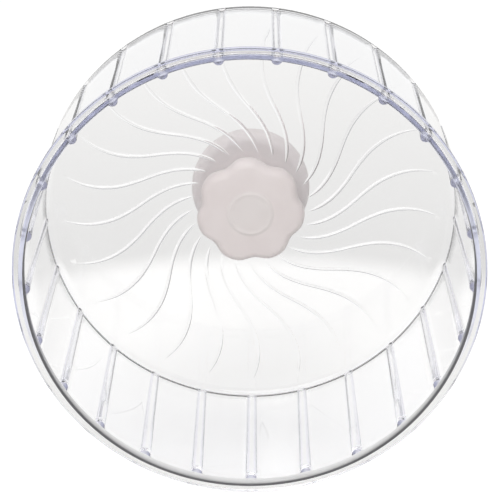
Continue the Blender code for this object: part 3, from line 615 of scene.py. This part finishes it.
def makeDrum():
    d = drum
    rim, back, front = reach("wheel_drum")
    floor = back + d["wall"]
    floorRadius = d["mouthRadius"] - d["taper"]
    gaps = evenly(d["gapColumns"] + 2)[1:-1]
    treads = d["treadCount"]
    period = math.tau / treads
    copies = np.arange(treads) * period
    across = np.array([-u for u, _ in treadShares] + [u for u, _ in treadShares[-2::-1]])
    ridgeRise = 1.0 - (across / treadShares[0][0]) ** 2
    count = len(across)
    rings = []
    for radius, ahead, part, share in drumProfile(back, front, rim):
        way = np.clip((radius - d["ridgeInner"]) / (d["ridgeOuter"] - d["ridgeInner"]), 0.0, 1.0)
        radii = np.full(count + len(gaps), radius)
        aheads = np.full(count + len(gaps), ahead)
        if ahead <= floor and radius < d["ridgeOuter"] + 0.0001:
            turn = d["ridgeFirst"] + d["ridgeTurn"] * smoothThrough(ridgeShares, 1, way)
            size = max(smoothThrough(ridgeShares, 2, way), ridgeShares[0][2])
            offsets = across * d["ridgeWidth"] / 2 * size / radius
            if part == "ridge" and 0.0 < way < 1.0:
                aheads[:count] += d["ridgeHeight"] * size * ridgeRise
        else:
            turn = d["treadFirst"]
            length = np.clip((ahead - floor) / (front - floor), 0.0, 1.0)
            x, rise = acrossTread(length)
            if part == "tread":
                radii[:count] = np.minimum(radius, floorRadius + d["taper"] * length - rise * share)
            if part == "outside":
                hollowX, hollowRise = acrossTread(length, d["hollowWall"])
                x = x + (hollowX - x) * share
                radii[:count] = radius - hollowRise * share
            offsets = x / radius
        edge = offsets[count - 1]
        offsets = np.concatenate([offsets, edge + (period - 2 * edge) * gaps])
        angles = math.radians(turn) + copies[:, None] + offsets[None, :]
        radii, aheads = np.tile(radii, treads), np.tile(aheads, treads)
        rings.append(onWheel(radii, angles.ravel(), aheads))
    mount(gridPiece("clear_drum", rings, 40.0), clearMaterial, "wheel", "clear_plastic", "wheel_drum")


makeDrum()
print("drum made")


# Knob: seven soft lobes and a low disc in the middle

knob = {
    "lobes": 7, "firstLobe": 43.0, "lobeRadius": 0.039, "valleyRadius": 0.0353, "fullness": 1.6,
    "backRounding": 0.002, "frontRounding": 0.0062, "frontTurn": 84.0, "crown": 0.0007,
    "recess": 0.0163, "floorDepth": 0.0016, "bore": 0.0078, "stepsPerLobe": 28,
    "pocketRadius": 0.0113, "pocketDepth": 0.0044,
    "discSkirt": 0.0010, "skirtEdge": 0.0001, "discRidge": 0.0148, "discHollow": 0.0004,
    "hollowWidth": 0.0024, "discGap": 0.00003, "discEdge": 0.0003,
}


def makeKnob():
    k = knob
    _, back, front = reach("knob_cap")
    angles = roundAngles(k["lobes"] * k["stepsPerLobe"])
    wave = 0.5 - 0.5 * np.cos(k["lobes"] * (angles - math.radians(k["firstLobe"])))
    lobed = k["lobeRadius"] - (k["lobeRadius"] - k["valleyRadius"]) * wave ** k["fullness"]
    low, high = k["backRounding"], k["frontRounding"]
    rings = [
        onWheel(lobed - low + r, angles, ahead)
        for r, ahead in arc(low, back, low, -90.0, 0.0, 5)
    ]
    corner = arc(high, front - k["crown"], high, 0.0, k["frontTurn"], 12)
    rings += [onWheel(lobed - high + r, angles, ahead) for r, ahead in corner]
    shoulder = lobed - high + corner[-1][0]
    for t in evenly(9)[1:]:
        ahead = corner[-1][1] + (front - corner[-1][1]) * (1 - (1 - t) ** 2)
        rings.append(onWheel(shoulder + (k["recess"] - shoulder) * t, angles, ahead))
    floorAhead, pocketAhead = front - k["floorDepth"], front - k["pocketDepth"]
    rings += ringsOf((
        (k["recess"], floorAhead), (k["pocketRadius"], floorAhead), (k["pocketRadius"], pocketAhead),
        (k["bore"], pocketAhead), (k["bore"], back),
    ), angles)
    mount(gridPiece("lobed_knob", rings), knobMaterial, "knob", "knob_plastic", "knob_cap")


def makeKnobCap():
    # a disc pressed into the knob: thin skirt, low round ridge, slightly hollow middle
    k = knob
    radius, back, front = reach("knob_centre_cap")
    face = reach("knob_cap")[2] + k["discGap"]
    ridge, skirt, edge = k["discRidge"], radius + k["discSkirt"], k["discEdge"]
    rise = front - face
    outline = [(0.0, back), (radius - edge, back), (radius, back + edge), (radius, face), (skirt, face)]
    for t in evenly(10):
        ahead = face + k["skirtEdge"] + (rise - k["skirtEdge"]) * eased(t)
        outline.append((skirt + (ridge - skirt) * t, ahead))
    for t in evenly(8)[1:]:
        outline.append((ridge - k["hollowWidth"] * t, front - k["discHollow"] * eased(t)))
    outline.append((0.0, front - k["discHollow"]))
    piece = turnedPiece("knob_disc", outline, 144, 50.0)
    mount(piece, discMaterial, "knob", "knob_plastic", "knob_centre_cap")


makeKnob()
makeKnobCap()
print("knob made")


# Threads and hexagons, shared by the hardware


thread = {
    "pitch": 0.00125, "depth": 0.00062, "columns": 60, "ringsPerTurn": 7, "runOut": 0.0012,
    "crest": 0.12, "flanks": 0.76,
}


def threadRings(radius, back, front, spans, chamfers):
    # rings of a rod with right-handed thread in the given spans and chamfers at its free ends
    t = thread
    angles = roundAngles(t["columns"])
    steps = int(round((front - back) / t["pitch"] * t["ringsPerTurn"]))
    rings = []
    for ahead in np.linspace(back, front, steps + 1):
        wave = np.abs(2.0 * np.mod(ahead / t["pitch"] - angles / math.tau, 1.0) - 1.0)
        groove = np.clip((wave - t["crest"]) / t["flanks"], 0.0, 1.0)
        depth = 0.0
        for low, high in spans:
            inside = min(ahead - low, high - ahead) / t["runOut"]
            depth = max(depth, min(max(inside, 0.0), 1.0))
        radii = radius - t["depth"] * depth * groove
        if chamfers[0]:
            radii = np.minimum(radii, radius - chamfers[0] + ahead - back)
        if chamfers[1]:
            radii = np.minimum(radii, radius - chamfers[1] + front - ahead)
        rings.append(onWheel(radii, angles, ahead))
    return rings


hexagon = {"across": 0.013, "corner": 30.0, "faceShare": 0.95, "levels": (0.0, 0.12, 0.25, 0.4, 0.6, 0.9)}


def hexRings(back, front):
    # a hexagon whose corners are turned off at both ends
    h = hexagon
    angles = roundAngles(thread["columns"])
    offset = np.mod(angles, math.tau / 6) - math.tau / 12
    flats = h["across"] / 2 / np.cos(offset)
    face = h["across"] / 2 * h["faceShare"]
    slope = math.tan(math.radians(h["corner"]))
    levels = [level * 0.001 for level in h["levels"]]
    places = [(level, back + level) for level in levels] + [(level, front - level) for level in levels[::-1]]
    return [onWheel(np.minimum(flats, face + level / slope), angles, ahead) for level, ahead in places]


# Base behind the wheel: housing with its neck, cover, screws

base = {
    "rounding": 0.007, "depth": 0.0125, "wall": 0.003, "neckRadius": 0.017, "neckEdge": 0.001,
    "neckFillet": 0.0012, "edge": 0.0008, "segments": 144, "bearingSeat": 0.0113, "shoulder": 0.0092,
    "bossWall": 0.0024, "coverFace": 0.004, "coverBore": 0.0043, "grooves": (0.0375, 0.0395),
    "grooveWidth": 0.0007, "grooveDepth": 0.0004, "socketRadius": 0.0105, "pocketAcross": 0.0136,
    "bevel": 0.0004, "clearance": 0.0003, "overcut": 0.001,
    "headRadius": 0.0031, "headHeight": 0.0019, "headDome": 0.0005, "headEdge": 0.0003,
    "domeShares": (0.2, 0.4, 0.6, 0.8, 0.92, 0.98), "shankRadius": 0.0016,
    "threadDepth": 0.0003, "threadPitch": 0.0006, "tipLength": 0.0025,
    "slotWidth": 0.0009, "slotDepth": 0.0009, "slotTurns": (20.0, 70.0, 120.0),
}


def coverScrews():
    # each cover screw's node and its middle
    for index in range(3):
        node = f"cover_screw_{index + 1}"
        yield node, middleOf(node)


def drill(piece, outline, place, operation="DIFFERENCE"):
    # a turned hole at a screw's place, or a boss with UNION
    cut(piece, shifted(turnedPiece("drill", outline, 48), place.x, place.z), operation)


def makeHousing():
    b = base
    wall, seat, shoulder = b["wall"], b["bearingSeat"], b["shoulder"]
    radius, back, front = reach("mount_housing")
    seatFront = reach("front_bearing_outer_ring")[1] - b["clearance"]
    seatBack = reach("rear_bearing_outer_ring")[2] + b["clearance"]
    face = back + b["depth"]
    outline = [(radius - wall, back)] + arc(radius, back, b["edge"], -90.0, 0.0, 4)
    outline += arc(radius, face, b["rounding"], 0.0, 90.0, 14)
    outline += arc(b["neckRadius"], face, b["neckFillet"], -90.0, -180.0, 5)
    outline += arc(b["neckRadius"], front, b["neckEdge"], 0.0, 90.0, 4)
    outline += [(seat, front), (seat, seatFront), (shoulder, seatFront), (shoulder, seatBack)]
    outline += [(seat, seatBack), (seat, face - wall)]
    outline += arc(radius - wall, face - wall, b["rounding"] - wall, 90.0, 0.0, 6)
    piece = turnedPiece("base_housing", outline, b["segments"])
    thin = b["shankRadius"] + b["clearance"]
    for node, middle in coverScrews():
        boss = rod(thin + b["bossWall"], back + b["clearance"], face - wall / 2)
        drill(piece, boss, middle, "UNION")
        drill(piece, rod(thin, back - b["overcut"], reach(node)[2] + b["clearance"]), middle)
    mount(piece, shadeLiftedBaseMaterial, "base", "base_plastic", "mount_housing")


def makeCover():
    b = base
    radius, back, front = reach("rear_cover")
    bevel, face, bore, socket = b["bevel"], b["coverFace"], b["coverBore"], b["socketRadius"]
    outline = [(bore + bevel, back)]
    for middle in b["grooves"]:
        half, depth = b["grooveWidth"] / 2, b["grooveDepth"]
        outline += [(middle - half, back), (middle - half * 0.5, back + depth)]
        outline += [(middle + half * 0.5, back + depth), (middle + half, back)]
    outline += arc(radius, back, b["edge"], -90.0, 0.0, 5)
    outline += [(radius, face), (socket, face), (socket, front), (bore, front), (bore, back + bevel)]
    piece = turnedPiece("base_cover", outline, b["segments"])
    pocket = rod(b["pocketAcross"] / 2 / math.cos(math.pi / 6), face, front + 2 * b["overcut"])
    cut(piece, turnedPiece("pocket", pocket, 6))
    wide, thin = b["headRadius"] + b["clearance"], b["shankRadius"] + b["clearance"]
    depth, through = b["headHeight"] + b["clearance"], face + b["overcut"]
    outline = [
        (0.0, -b["overcut"]), (wide + bevel, -b["overcut"]), (wide + bevel, 0.0), (wide, bevel),
        (wide, depth), (thin, depth), (thin, through), (0.0, through),
    ]
    for _, middle in coverScrews():
        drill(piece, outline, middle)
    mount(piece, shadeLiftedBaseMaterial, "base", "base_plastic", "rear_cover")


def makeScrews():
    b = base
    half, far = b["slotWidth"] / 2, b["headRadius"] + b["overcut"]
    corners = [(-far, -half), (far, -half), (far, half), (-far, half)]
    points = [(x, b["overcut"], z) for x, z in corners] + [(x, -b["slotDepth"], z) for x, z in corners]
    faces = [(0, 1, 2, 3), (7, 6, 5, 4)] + [(i, (i + 1) % 4, (i + 1) % 4 + 4, i + 4) for i in range(4)]
    head, shank, root = b["headRadius"], b["shankRadius"], b["shankRadius"] - b["threadDepth"]
    for (node, middle), turn in zip(coverScrews(), b["slotTurns"]):
        _, back, front = reach(node)
        neck = back + b["headHeight"]
        outline = [(0.0, back)]
        outline += [(head * share, back + b["headDome"] * share ** 2) for share in b["domeShares"]]
        outline += [(head, back + b["headDome"] + b["headEdge"]), (head, neck), (shank, neck)]
        ahead = neck + b["bevel"]
        while ahead < front - b["tipLength"]:
            outline += [(root, ahead), (shank, ahead + b["threadPitch"] / 2)]
            ahead += b["threadPitch"]
        outline += [(root, ahead), (0.0003, front), (0.0, front)]
        piece = turnedPiece(f"{node}_slotted", outline, 48)
        slot = meshPiece("slot", points, faces)
        slot.data.transform(Matrix.Rotation(math.radians(turn), 4, "Y"))
        cut(piece, slot)
        mount(shifted(piece, middle.x, middle.z), zincMaterial, "base", "steel", node)


makeHousing()
makeCover()
makeScrews()
print("base made")


# Clamp: bolt through the cage bars, round plate and wing nut

clamp = {
    "boltRadius": 0.00395, "chamfer": 0.0007, "headHeight": 0.0053, "plainLength": 0.008,
    "bore": 0.0043, "bevel": 0.0003, "bossRadius": 0.0095, "bossHeight": 0.0018, "bossEdge": 0.0005,
    "bossFillet": 0.0006, "edge": 0.0008, "ribs": 8, "ribWidth": 0.0024, "ribHeight": 0.0009,
    "ribRings": 16, "padGroove": 0.0215,
    "nutTop": 0.0064, "nutBase": 0.0078, "nutHeight": 0.0082, "nutBevel": 0.0005, "overcut": 0.002,
    "wingThickness": 0.0024, "wingRoot": 0.0054, "wingLength": 0.0122, "wingRise": 0.0165,
    "wingLevels": ((-0.5, 0.90), (-0.36, 0.985), (0.0, 1.0), (0.36, 0.985), (0.5, 0.90)), "voxel": 0.0004,
}
# Outline of one wing: share of its length, share of its rise
wingShares = (
    (0.00, 0.06), (0.31, 0.10), (0.52, 0.19), (0.71, 0.34), (0.86, 0.50), (0.96, 0.66), (1.00, 0.78),
    (0.985, 0.90), (0.90, 0.98), (0.80, 1.00), (0.66, 0.99), (0.52, 0.93), (0.43, 0.83), (0.36, 0.70),
    (0.26, 0.58), (0.00, 0.44),
)


def makeBolt():
    c = clamp
    _, back, front = reach("clamp_bolt")
    headBack = front - c["headHeight"]
    spans = [(back - 0.01, headBack - c["plainLength"])]
    rings = threadRings(c["boltRadius"], back, headBack - 0.0002, spans, (c["chamfer"], 0.0))
    piece = solidPiece("clamp_bolt_threaded", rings + hexRings(headBack, front))
    mount(piece, zincMaterial, "base", "steel", "clamp_bolt")


def makePlate():
    c = clamp
    radius, back, front = reach("clamp_plate")
    angles = roundAngles(240)
    plateBack = back + c["bossHeight"]
    bore, bevel, edge, boss, groove = c["bore"], c["bevel"], c["edge"], c["bossRadius"], c["padGroove"]
    turn = np.abs(np.mod(angles * c["ribs"] / math.tau + 0.5, 1.0) - 0.5) * math.tau / c["ribs"]
    outline = [(bore, back + bevel), (bore + bevel, back)]
    outline += arc(boss, back, c["bossEdge"], -90.0, 0.0, 3)
    rings = ringsOf(outline + arc(boss, plateBack, c["bossFillet"], 180.0, 90.0, 3), angles)
    for r in np.linspace(boss + 0.0009, radius - edge - 0.0016, c["ribRings"]):
        across = turn * r / (c["ribWidth"] / 2)
        out = (r - boss) / (radius - edge - boss)
        rise = c["ribHeight"] * (1.0 - out ** 3) * np.clip(1.4 * (1.0 - across ** 2), 0.0, 1.0)
        rings.append(onWheel(r, angles, plateBack - rise))
    outline = rounded(radius, plateBack, front, edge, 4)
    outline += [
        (groove + 0.0006, front), (groove + 0.0003, front - 0.0005), (groove - 0.0003, front - 0.0005),
        (groove - 0.0006, front), (bore + bevel, front), (bore, front - bevel),
    ]
    piece = gridPiece("clamp_plate_ribbed", rings + ringsOf(outline, angles))
    mount(piece, shadeLiftedBaseMaterial, "clamp", "base_plastic", "clamp_plate")


def makeWing(side, front):
    # a flat wing, thinner at its rim than at its root, its outline drawn in a little on both faces
    c = clamp
    middle = (0.55, 0.6)
    points = []
    for level, shrink in c["wingLevels"]:
        for out, rise in wingShares:
            x = between((middle[0], out), shrink) if out > 0.0 else out
            y = between((middle[1], rise), shrink)
            points.append((
                side * (c["wingRoot"] + x * c["wingLength"]), -front + y * c["wingRise"],
                level * c["wingThickness"] * (1.25 - 0.4 * out),
            ))
    count = len(wingShares)
    faces = gridFaces(len(c["wingLevels"]), count, False)
    faces += [tuple(range(count)), tuple(range(len(points) - count, len(points)))]
    return meshPiece("wing", points, faces)


def makeWingNut():
    c = clamp
    front = reach("wing_nut")[2]
    back = front - c["nutHeight"]
    outline = [(0.0, back)] + arc(c["nutTop"], back, 0.0006, -90.0, 0.0, 3)
    outline += [(c["nutBase"], front - 0.0008), (c["nutBase"], front), (0.0, front)]
    piece = turnedPiece("wing_nut_cast", outline, 64)
    for side in (1.0, -1.0):
        cut(piece, makeWing(side, front), "UNION")
    remesh = piece.modifiers.new("cast", "REMESH")
    remesh.mode = "VOXEL"
    remesh.voxel_size = c["voxel"]
    smooth = piece.modifiers.new("soften", "SMOOTH")
    smooth.factor = 0.5
    smooth.iterations = 5
    applyModifiers(piece)
    bore, wide = c["bore"], c["bore"] + c["nutBevel"]
    cut(piece, turnedPiece("bore", [
        (0.0, back - c["overcut"]), (wide, back - c["overcut"]), (wide, back + 0.0001), (bore, back + 0.0006),
        (bore, front - 0.0006), (wide, front - 0.0001), (wide, front + c["overcut"]),
        (0.0, front + c["overcut"]),
    ], 48))
    mount(piece, zincMaterial, "wing_nut", "steel", "wing_nut")


makeBolt()
makePlate()
makeWingNut()
print("clamp made")


# Hub: flange, washer, axle with its nut, spacer and insert

hub = {
    "bore": 0.0043, "ringRadius": 0.00605, "flangeThickness": 0.004, "pilotRadius": 0.008,
    "pilotLength": 0.0023, "edge": 0.0005, "smallEdge": 0.0002, "bevel": 0.0003, "nutBevel": 0.0004,
    "axleRadius": 0.00395, "chamfer": 0.0006, "threadLength": 0.0135, "rearShorter": 0.004,
    "insertRadius": 0.0075, "insertEdge": 0.0006, "insertFlange": 0.0025, "knurls": 40,
    "knurlDepth": 0.00022,
}


def makeHub():
    h = hub
    radius, back, front = reach("hub_flange")
    face = front - h["pilotLength"]
    rear = face - h["flangeThickness"]
    outline = [(h["bore"], back), (h["ringRadius"], back), (h["ringRadius"], rear)]
    outline += rounded(radius, rear, face, h["edge"], 4)
    outline += [(h["pilotRadius"], face), (h["pilotRadius"], front - h["bevel"])]
    outline += [(h["pilotRadius"] - h["bevel"], front), (h["bore"], front)]
    piece = turnedPiece("hub_flange_turned", outline, 120)
    mount(piece, shadeLiftedBaseMaterial, "wheel", "base_plastic", "hub_flange")


def makeAxle():
    h = hub
    _, back, front = reach("axle")
    length = h["threadLength"]
    spans = [(back - 0.01, back + length - h["rearShorter"]), (front - length, front + 0.01)]
    rings = threadRings(h["axleRadius"], back, front, spans, (h["chamfer"], h["chamfer"]))
    mount(solidPiece("axle_threaded", rings), zincMaterial, "wheel", "steel", "axle")


def makeAxleNut():
    _, back, front = reach("axle_nut")
    bore, bevel = hub["bore"], hub["nutBevel"]
    outline = [(bore + bevel, front), (bore, front - bevel), (bore, back + bevel), (bore + bevel, back)]
    rings = hexRings(back, front) + ringsOf(outline, roundAngles(thread["columns"]))
    mount(gridPiece("axle_nut_chamfered", rings), zincMaterial, "wheel", "steel", "axle_nut")


def makeSleeves():
    for node, name, material, slot in (
        ("wheel_washer", "wheel_washer_soft", nylonMaterial, "nylon"),
        ("axle_washer", "axle_washer_turned", zincMaterial, "steel"),
        ("bearing_spacer", "bearing_spacer_turned", zincMaterial, "steel"),
    ):
        outline = sleeve(hub["bore"], *reach(node), hub["smallEdge"])
        mount(turnedPiece(name, outline, 96, 40.0), material, "wheel", slot, node)


def makeInsert():
    h = hub
    radius, back, front = reach("knob_insert")
    angles = roundAngles(h["knurls"] * 4)
    knurl = h["knurlDepth"] * 0.5 * (1.0 - np.cos(angles * h["knurls"]))
    flange = front - h["insertFlange"]
    body, bore, bevel, edge = h["insertRadius"], h["bore"], h["bevel"], h["edge"]
    sections = [
        (body - h["insertEdge"], back, 0.0), (body, back + h["insertEdge"], 1.0), (body, flange, 1.0),
        (radius - bevel, flange, 0.0), (radius, flange + bevel, 0.0), (radius, front - bevel, 0.0),
        (radius - bevel, front, 0.0), (bore + edge, front, 0.0), (bore, front - edge, 0.0),
        (bore, back + edge, 0.0), (bore + edge, back, 0.0),
    ]
    rings = [onWheel(r - knurled * knurl, angles, ahead) for r, ahead, knurled in sections]
    piece = gridPiece("knob_insert_knurled", rings)
    mount(piece, brassMaterial, "knob_thread", "brass", "knob_insert")


# Bearings: grooved rings, balls and cages

bearing = {
    "pitchRadius": 0.0075, "grooveRadius": 0.00228, "ballRadius": 0.00198, "innerEdge": 0.00605,
    "outerEdge": 0.00895, "lip": 0.0001, "bore": 0.0043, "balls": 7, "bevel": 0.0004, "smallBevel": 0.0003,
    "gap": 0.0003,
}


def grooveArc(middle, side):
    # the ball groove of the outer ring (side 1) or the inner ring (side -1)
    b = bearing
    edge = b["outerEdge"] if side > 0 else b["innerEdge"]
    limit = math.acos(abs(edge - b["pitchRadius"]) / b["grooveRadius"])
    points = []
    for turn in np.linspace(-limit, limit, 11):
        points.append((
            b["pitchRadius"] + side * b["grooveRadius"] * math.cos(turn),
            middle + b["grooveRadius"] * math.sin(turn),
        ))
    return points


def ballPiece(name, place, radius):
    shape = bmesh.new()
    bmesh.ops.create_icosphere(shape, subdivisions=4, radius=radius)
    bmesh.ops.translate(shape, verts=shape.verts, vec=place)
    mesh = bpy.data.meshes.new(name)
    shape.to_mesh(mesh)
    shape.free()
    mesh.shade_smooth()
    return placed(name, mesh)


def makeCage(end, middle):
    b = bearing
    node = f"{end}_bearing_cage"
    _, back, front = reach(node)
    outline = sleeve(b["innerEdge"] + b["gap"], b["outerEdge"] - b["gap"], back, front, b["smallBevel"])
    piece = turnedPiece(f"{end}_ball_cage", outline, 112)
    for index in range(b["balls"]):
        place = middleOf(f"{end}_bearing_ball_{index + 1}")
        place.y = -middle
        cut(piece, ballPiece("pocket", place, b["grooveRadius"]))
    mount(piece, nylonMaterial, f"{end}_cage", "nylon", node)


def makeBearing(end):
    b = bearing
    radius, back, front = reach(f"{end}_bearing_outer_ring")
    middle = (back + front) / 2
    outer, inner = b["outerEdge"] + b["lip"], b["innerEdge"] - b["lip"]
    outline = [(outer, back)] + grooveArc(middle, 1.0) + [(outer, front)]
    outline += arc(radius, front, b["bevel"], 90.0, 0.0, 3) + arc(radius, back, b["bevel"], 0.0, -90.0, 3)
    piece = turnedPiece(f"{end}_outer_race", outline)
    mount(piece, groundMaterial, "base", "bearing_steel", f"{end}_bearing_outer_ring")
    bore, bevel = b["bore"], b["smallBevel"]
    outline = [(inner, back)] + grooveArc(middle, -1.0) + [(inner, front), (bore + bevel, front)]
    outline += [(bore, front - bevel), (bore, back + bevel), (bore + bevel, back)]
    piece = turnedPiece(f"{end}_inner_race", outline)
    mount(piece, groundMaterial, "wheel", "bearing_steel", f"{end}_bearing_inner_ring")
    makeCage(end, middle)
    for index in range(b["balls"]):
        node = f"{end}_bearing_ball_{index + 1}"
        piece = ballPiece(f"{end}_ball_{index + 1}", middleOf(node), b["ballRadius"])
        mount(piece, groundMaterial, f"{end}_cage", "bearing_steel", node)


makeHub()
makeAxle()
makeAxleNut()
makeSleeves()
makeInsert()
for end in ("front", "rear"):
    makeBearing(end)
print("hub and bearings made")


# Stage: pale floor, white surroundings and a soft lamp

stage = {
    "floorDrop": 0.0002, "floorSize": 3.0, "floorColour": 0.8, "glow": 0.43,
    "patchMiddle": (0.0, -0.05, 0.0), "patchEdge": (0.325, 0.375), "patchTone": 0.935,
    # painted shadow under the wheel: how far it reaches and its tone
    "paintedShadowReach": (0.12, 0.25), "paintedShadowTone": 0.755, "warmth": (1.0, 0.993, 0.98),
    # painted shade beyond the patch: how it fades with distance, near and far tone
    "fading": (0.40, 1.10), "nearTone": 0.765, "farTone": 0.935,
    # painted shade of the less lit floor round the pale patch, from in front, over the sides, to behind
    "shadeAround": ((0.0, 0.60), (0.30, 0.60), (0.55, 0.66), (0.78, 1.0), (1.0, 1.0)),
}


def onlyThroughPlastic(tree, patterned, plain):
    # the patterned colour for rays that the clear plastic bends or mirrors, the plain one for others
    return blended(tree, rays(tree, "Is Transmission Ray", "Is Glossy Ray"), plain, patterned)


def warm(tone):
    return tuple(tone * part for part in stage["warmth"])


def floorTone(tree):
    # a round pale patch with a painted shadow under the wheel, and painted shade darker round it, paler again
    # far behind
    place = addNode(tree, "ShaderNodeNewGeometry").outputs["Position"]
    away = vectorMath(tree, "SUBTRACT", place, stage["patchMiddle"])
    distance = vectorMath(tree, "LENGTH", away)
    facing = axisOf(tree, vectorMath(tree, "NORMALIZE", away), "Y")
    ramp = addNode(tree, "ShaderNodeValToRGB", {"Fac": remapped(tree, facing, -1.0, 1.0)})
    stops = ramp.color_ramp.elements
    while len(stops) < len(stage["shadeAround"]):
        stops.new(0.5)
    for stop, (position, tone) in zip(stops, stage["shadeAround"]):
        stop.position = position
        stop.color = (*warm(tone), 1.0)
    fading = remapped(tree, distance, *stage["fading"], stage["nearTone"], stage["farTone"])
    beyond = blended(tree, 1.0, ramp.outputs["Color"], fading, "MULTIPLY")
    outside = remapped(tree, distance, *stage["patchEdge"], smooth=True)
    # painted shadow on the floor under the wheel
    clearOfPaintedShadow = remapped(tree, distance, *stage["paintedShadowReach"], smooth=True)
    patch = blended(tree, clearOfPaintedShadow, warm(stage["paintedShadowTone"]), warm(stage["patchTone"]))
    return blended(tree, outside, patch, beyond)


def floorMaterial():
    material, tree, shader = newMaterial("paleFloor")
    tree.nodes.remove(shader)
    tone = onlyThroughPlastic(tree, floorTone(tree), (1.0, 1.0, 1.0))
    paint = blended(tree, 1.0, tone, (stage["floorColour"],) * 3, "MULTIPLY")
    # the glow is seen directly, through plastic and in mirrors, and lights nothing
    seen = rays(tree, "Is Camera Ray", "Is Transmission Ray", "Is Glossy Ray")
    strength = combine(tree, "MULTIPLY", seen, stage["glow"])
    diffuse = addNode(tree, "ShaderNodeBsdfDiffuse", {"Color": paint})
    glow = addNode(tree, "ShaderNodeEmission", {"Color": tone, "Strength": strength})
    both = addNode(tree, "ShaderNodeAddShader", {0: diffuse.outputs[0], 1: glow.outputs[0]})
    fill(tree, tree.nodes["Material Output"], {"Surface": both.outputs[0]})
    return material


def makeFloor():
    low = cadBox[0].z - stage["floorDrop"]
    half = stage["floorSize"] / 2
    corners = [(-half, -half, low), (half, -half, low), (half, half, low), (-half, half, low)]
    mesh = bpy.data.meshes.new("floor")
    mesh.from_pydata(corners, [], [(0, 1, 2, 3)])
    mesh.materials.append(floorMaterial())
    placed("floor", mesh)


light = {
    "dark": 0.62, "bright": 1.0, "darkEdge": -0.80, "brightEdge": -0.35, "rise": 0.3, "plain": 0.72,
    "lampPlace": (-0.3, -1.30, 1.20), "lampAim": (0.0, -0.1, 0.0), "lampSize": 1.2, "lampPower": 8.4,
}


def makeWorld():
    world = bpy.data.worlds.new("paleSurroundings")
    world.use_nodes = True
    tree = world.node_tree
    way = addNode(tree, "ShaderNodeTexCoord").outputs["Generated"]
    # seen through the plastic, they are bright behind and overhead and darker in front
    rise = combine(tree, "MULTIPLY", axisOf(tree, way, "Z"), light["rise"])
    towards = combine(tree, "ADD", axisOf(tree, way, "Y"), rise)
    edges, tones = (light["darkEdge"], light["brightEdge"]), (light["dark"], light["bright"])
    tone = remapped(tree, towards, *edges, *tones, smooth=True)
    seen = onlyThroughPlastic(tree, tone, (light["plain"],) * 3)
    white = blended(tree, rays(tree, "Is Camera Ray"), seen, (1.0, 1.0, 1.0))
    fill(tree, tree.nodes["Background"], {"Color": white})
    scene.world = world


def makeLamp():
    data = bpy.data.lights.new("softLamp", "AREA")
    data.shape = "DISK"
    data.size = light["lampSize"]
    data.energy = light["lampPower"]
    lamp = placed("softLamp", data)
    lamp.location = light["lampPlace"]
    aim = Vector(light["lampAim"]) - lamp.location
    lamp.rotation_euler = aim.to_track_quat("-Z", "Y").to_euler()
    lamp.visible_camera = False


makeFloor()
makeWorld()
makeLamp()
scene.view_settings.view_transform = "Standard"
scene.cycles.max_bounces = 128
scene.cycles.transmission_bounces = 128
scene.cycles.glossy_bounces = 12
scene.cycles.transparent_max_bounces = 40
print("stage set")
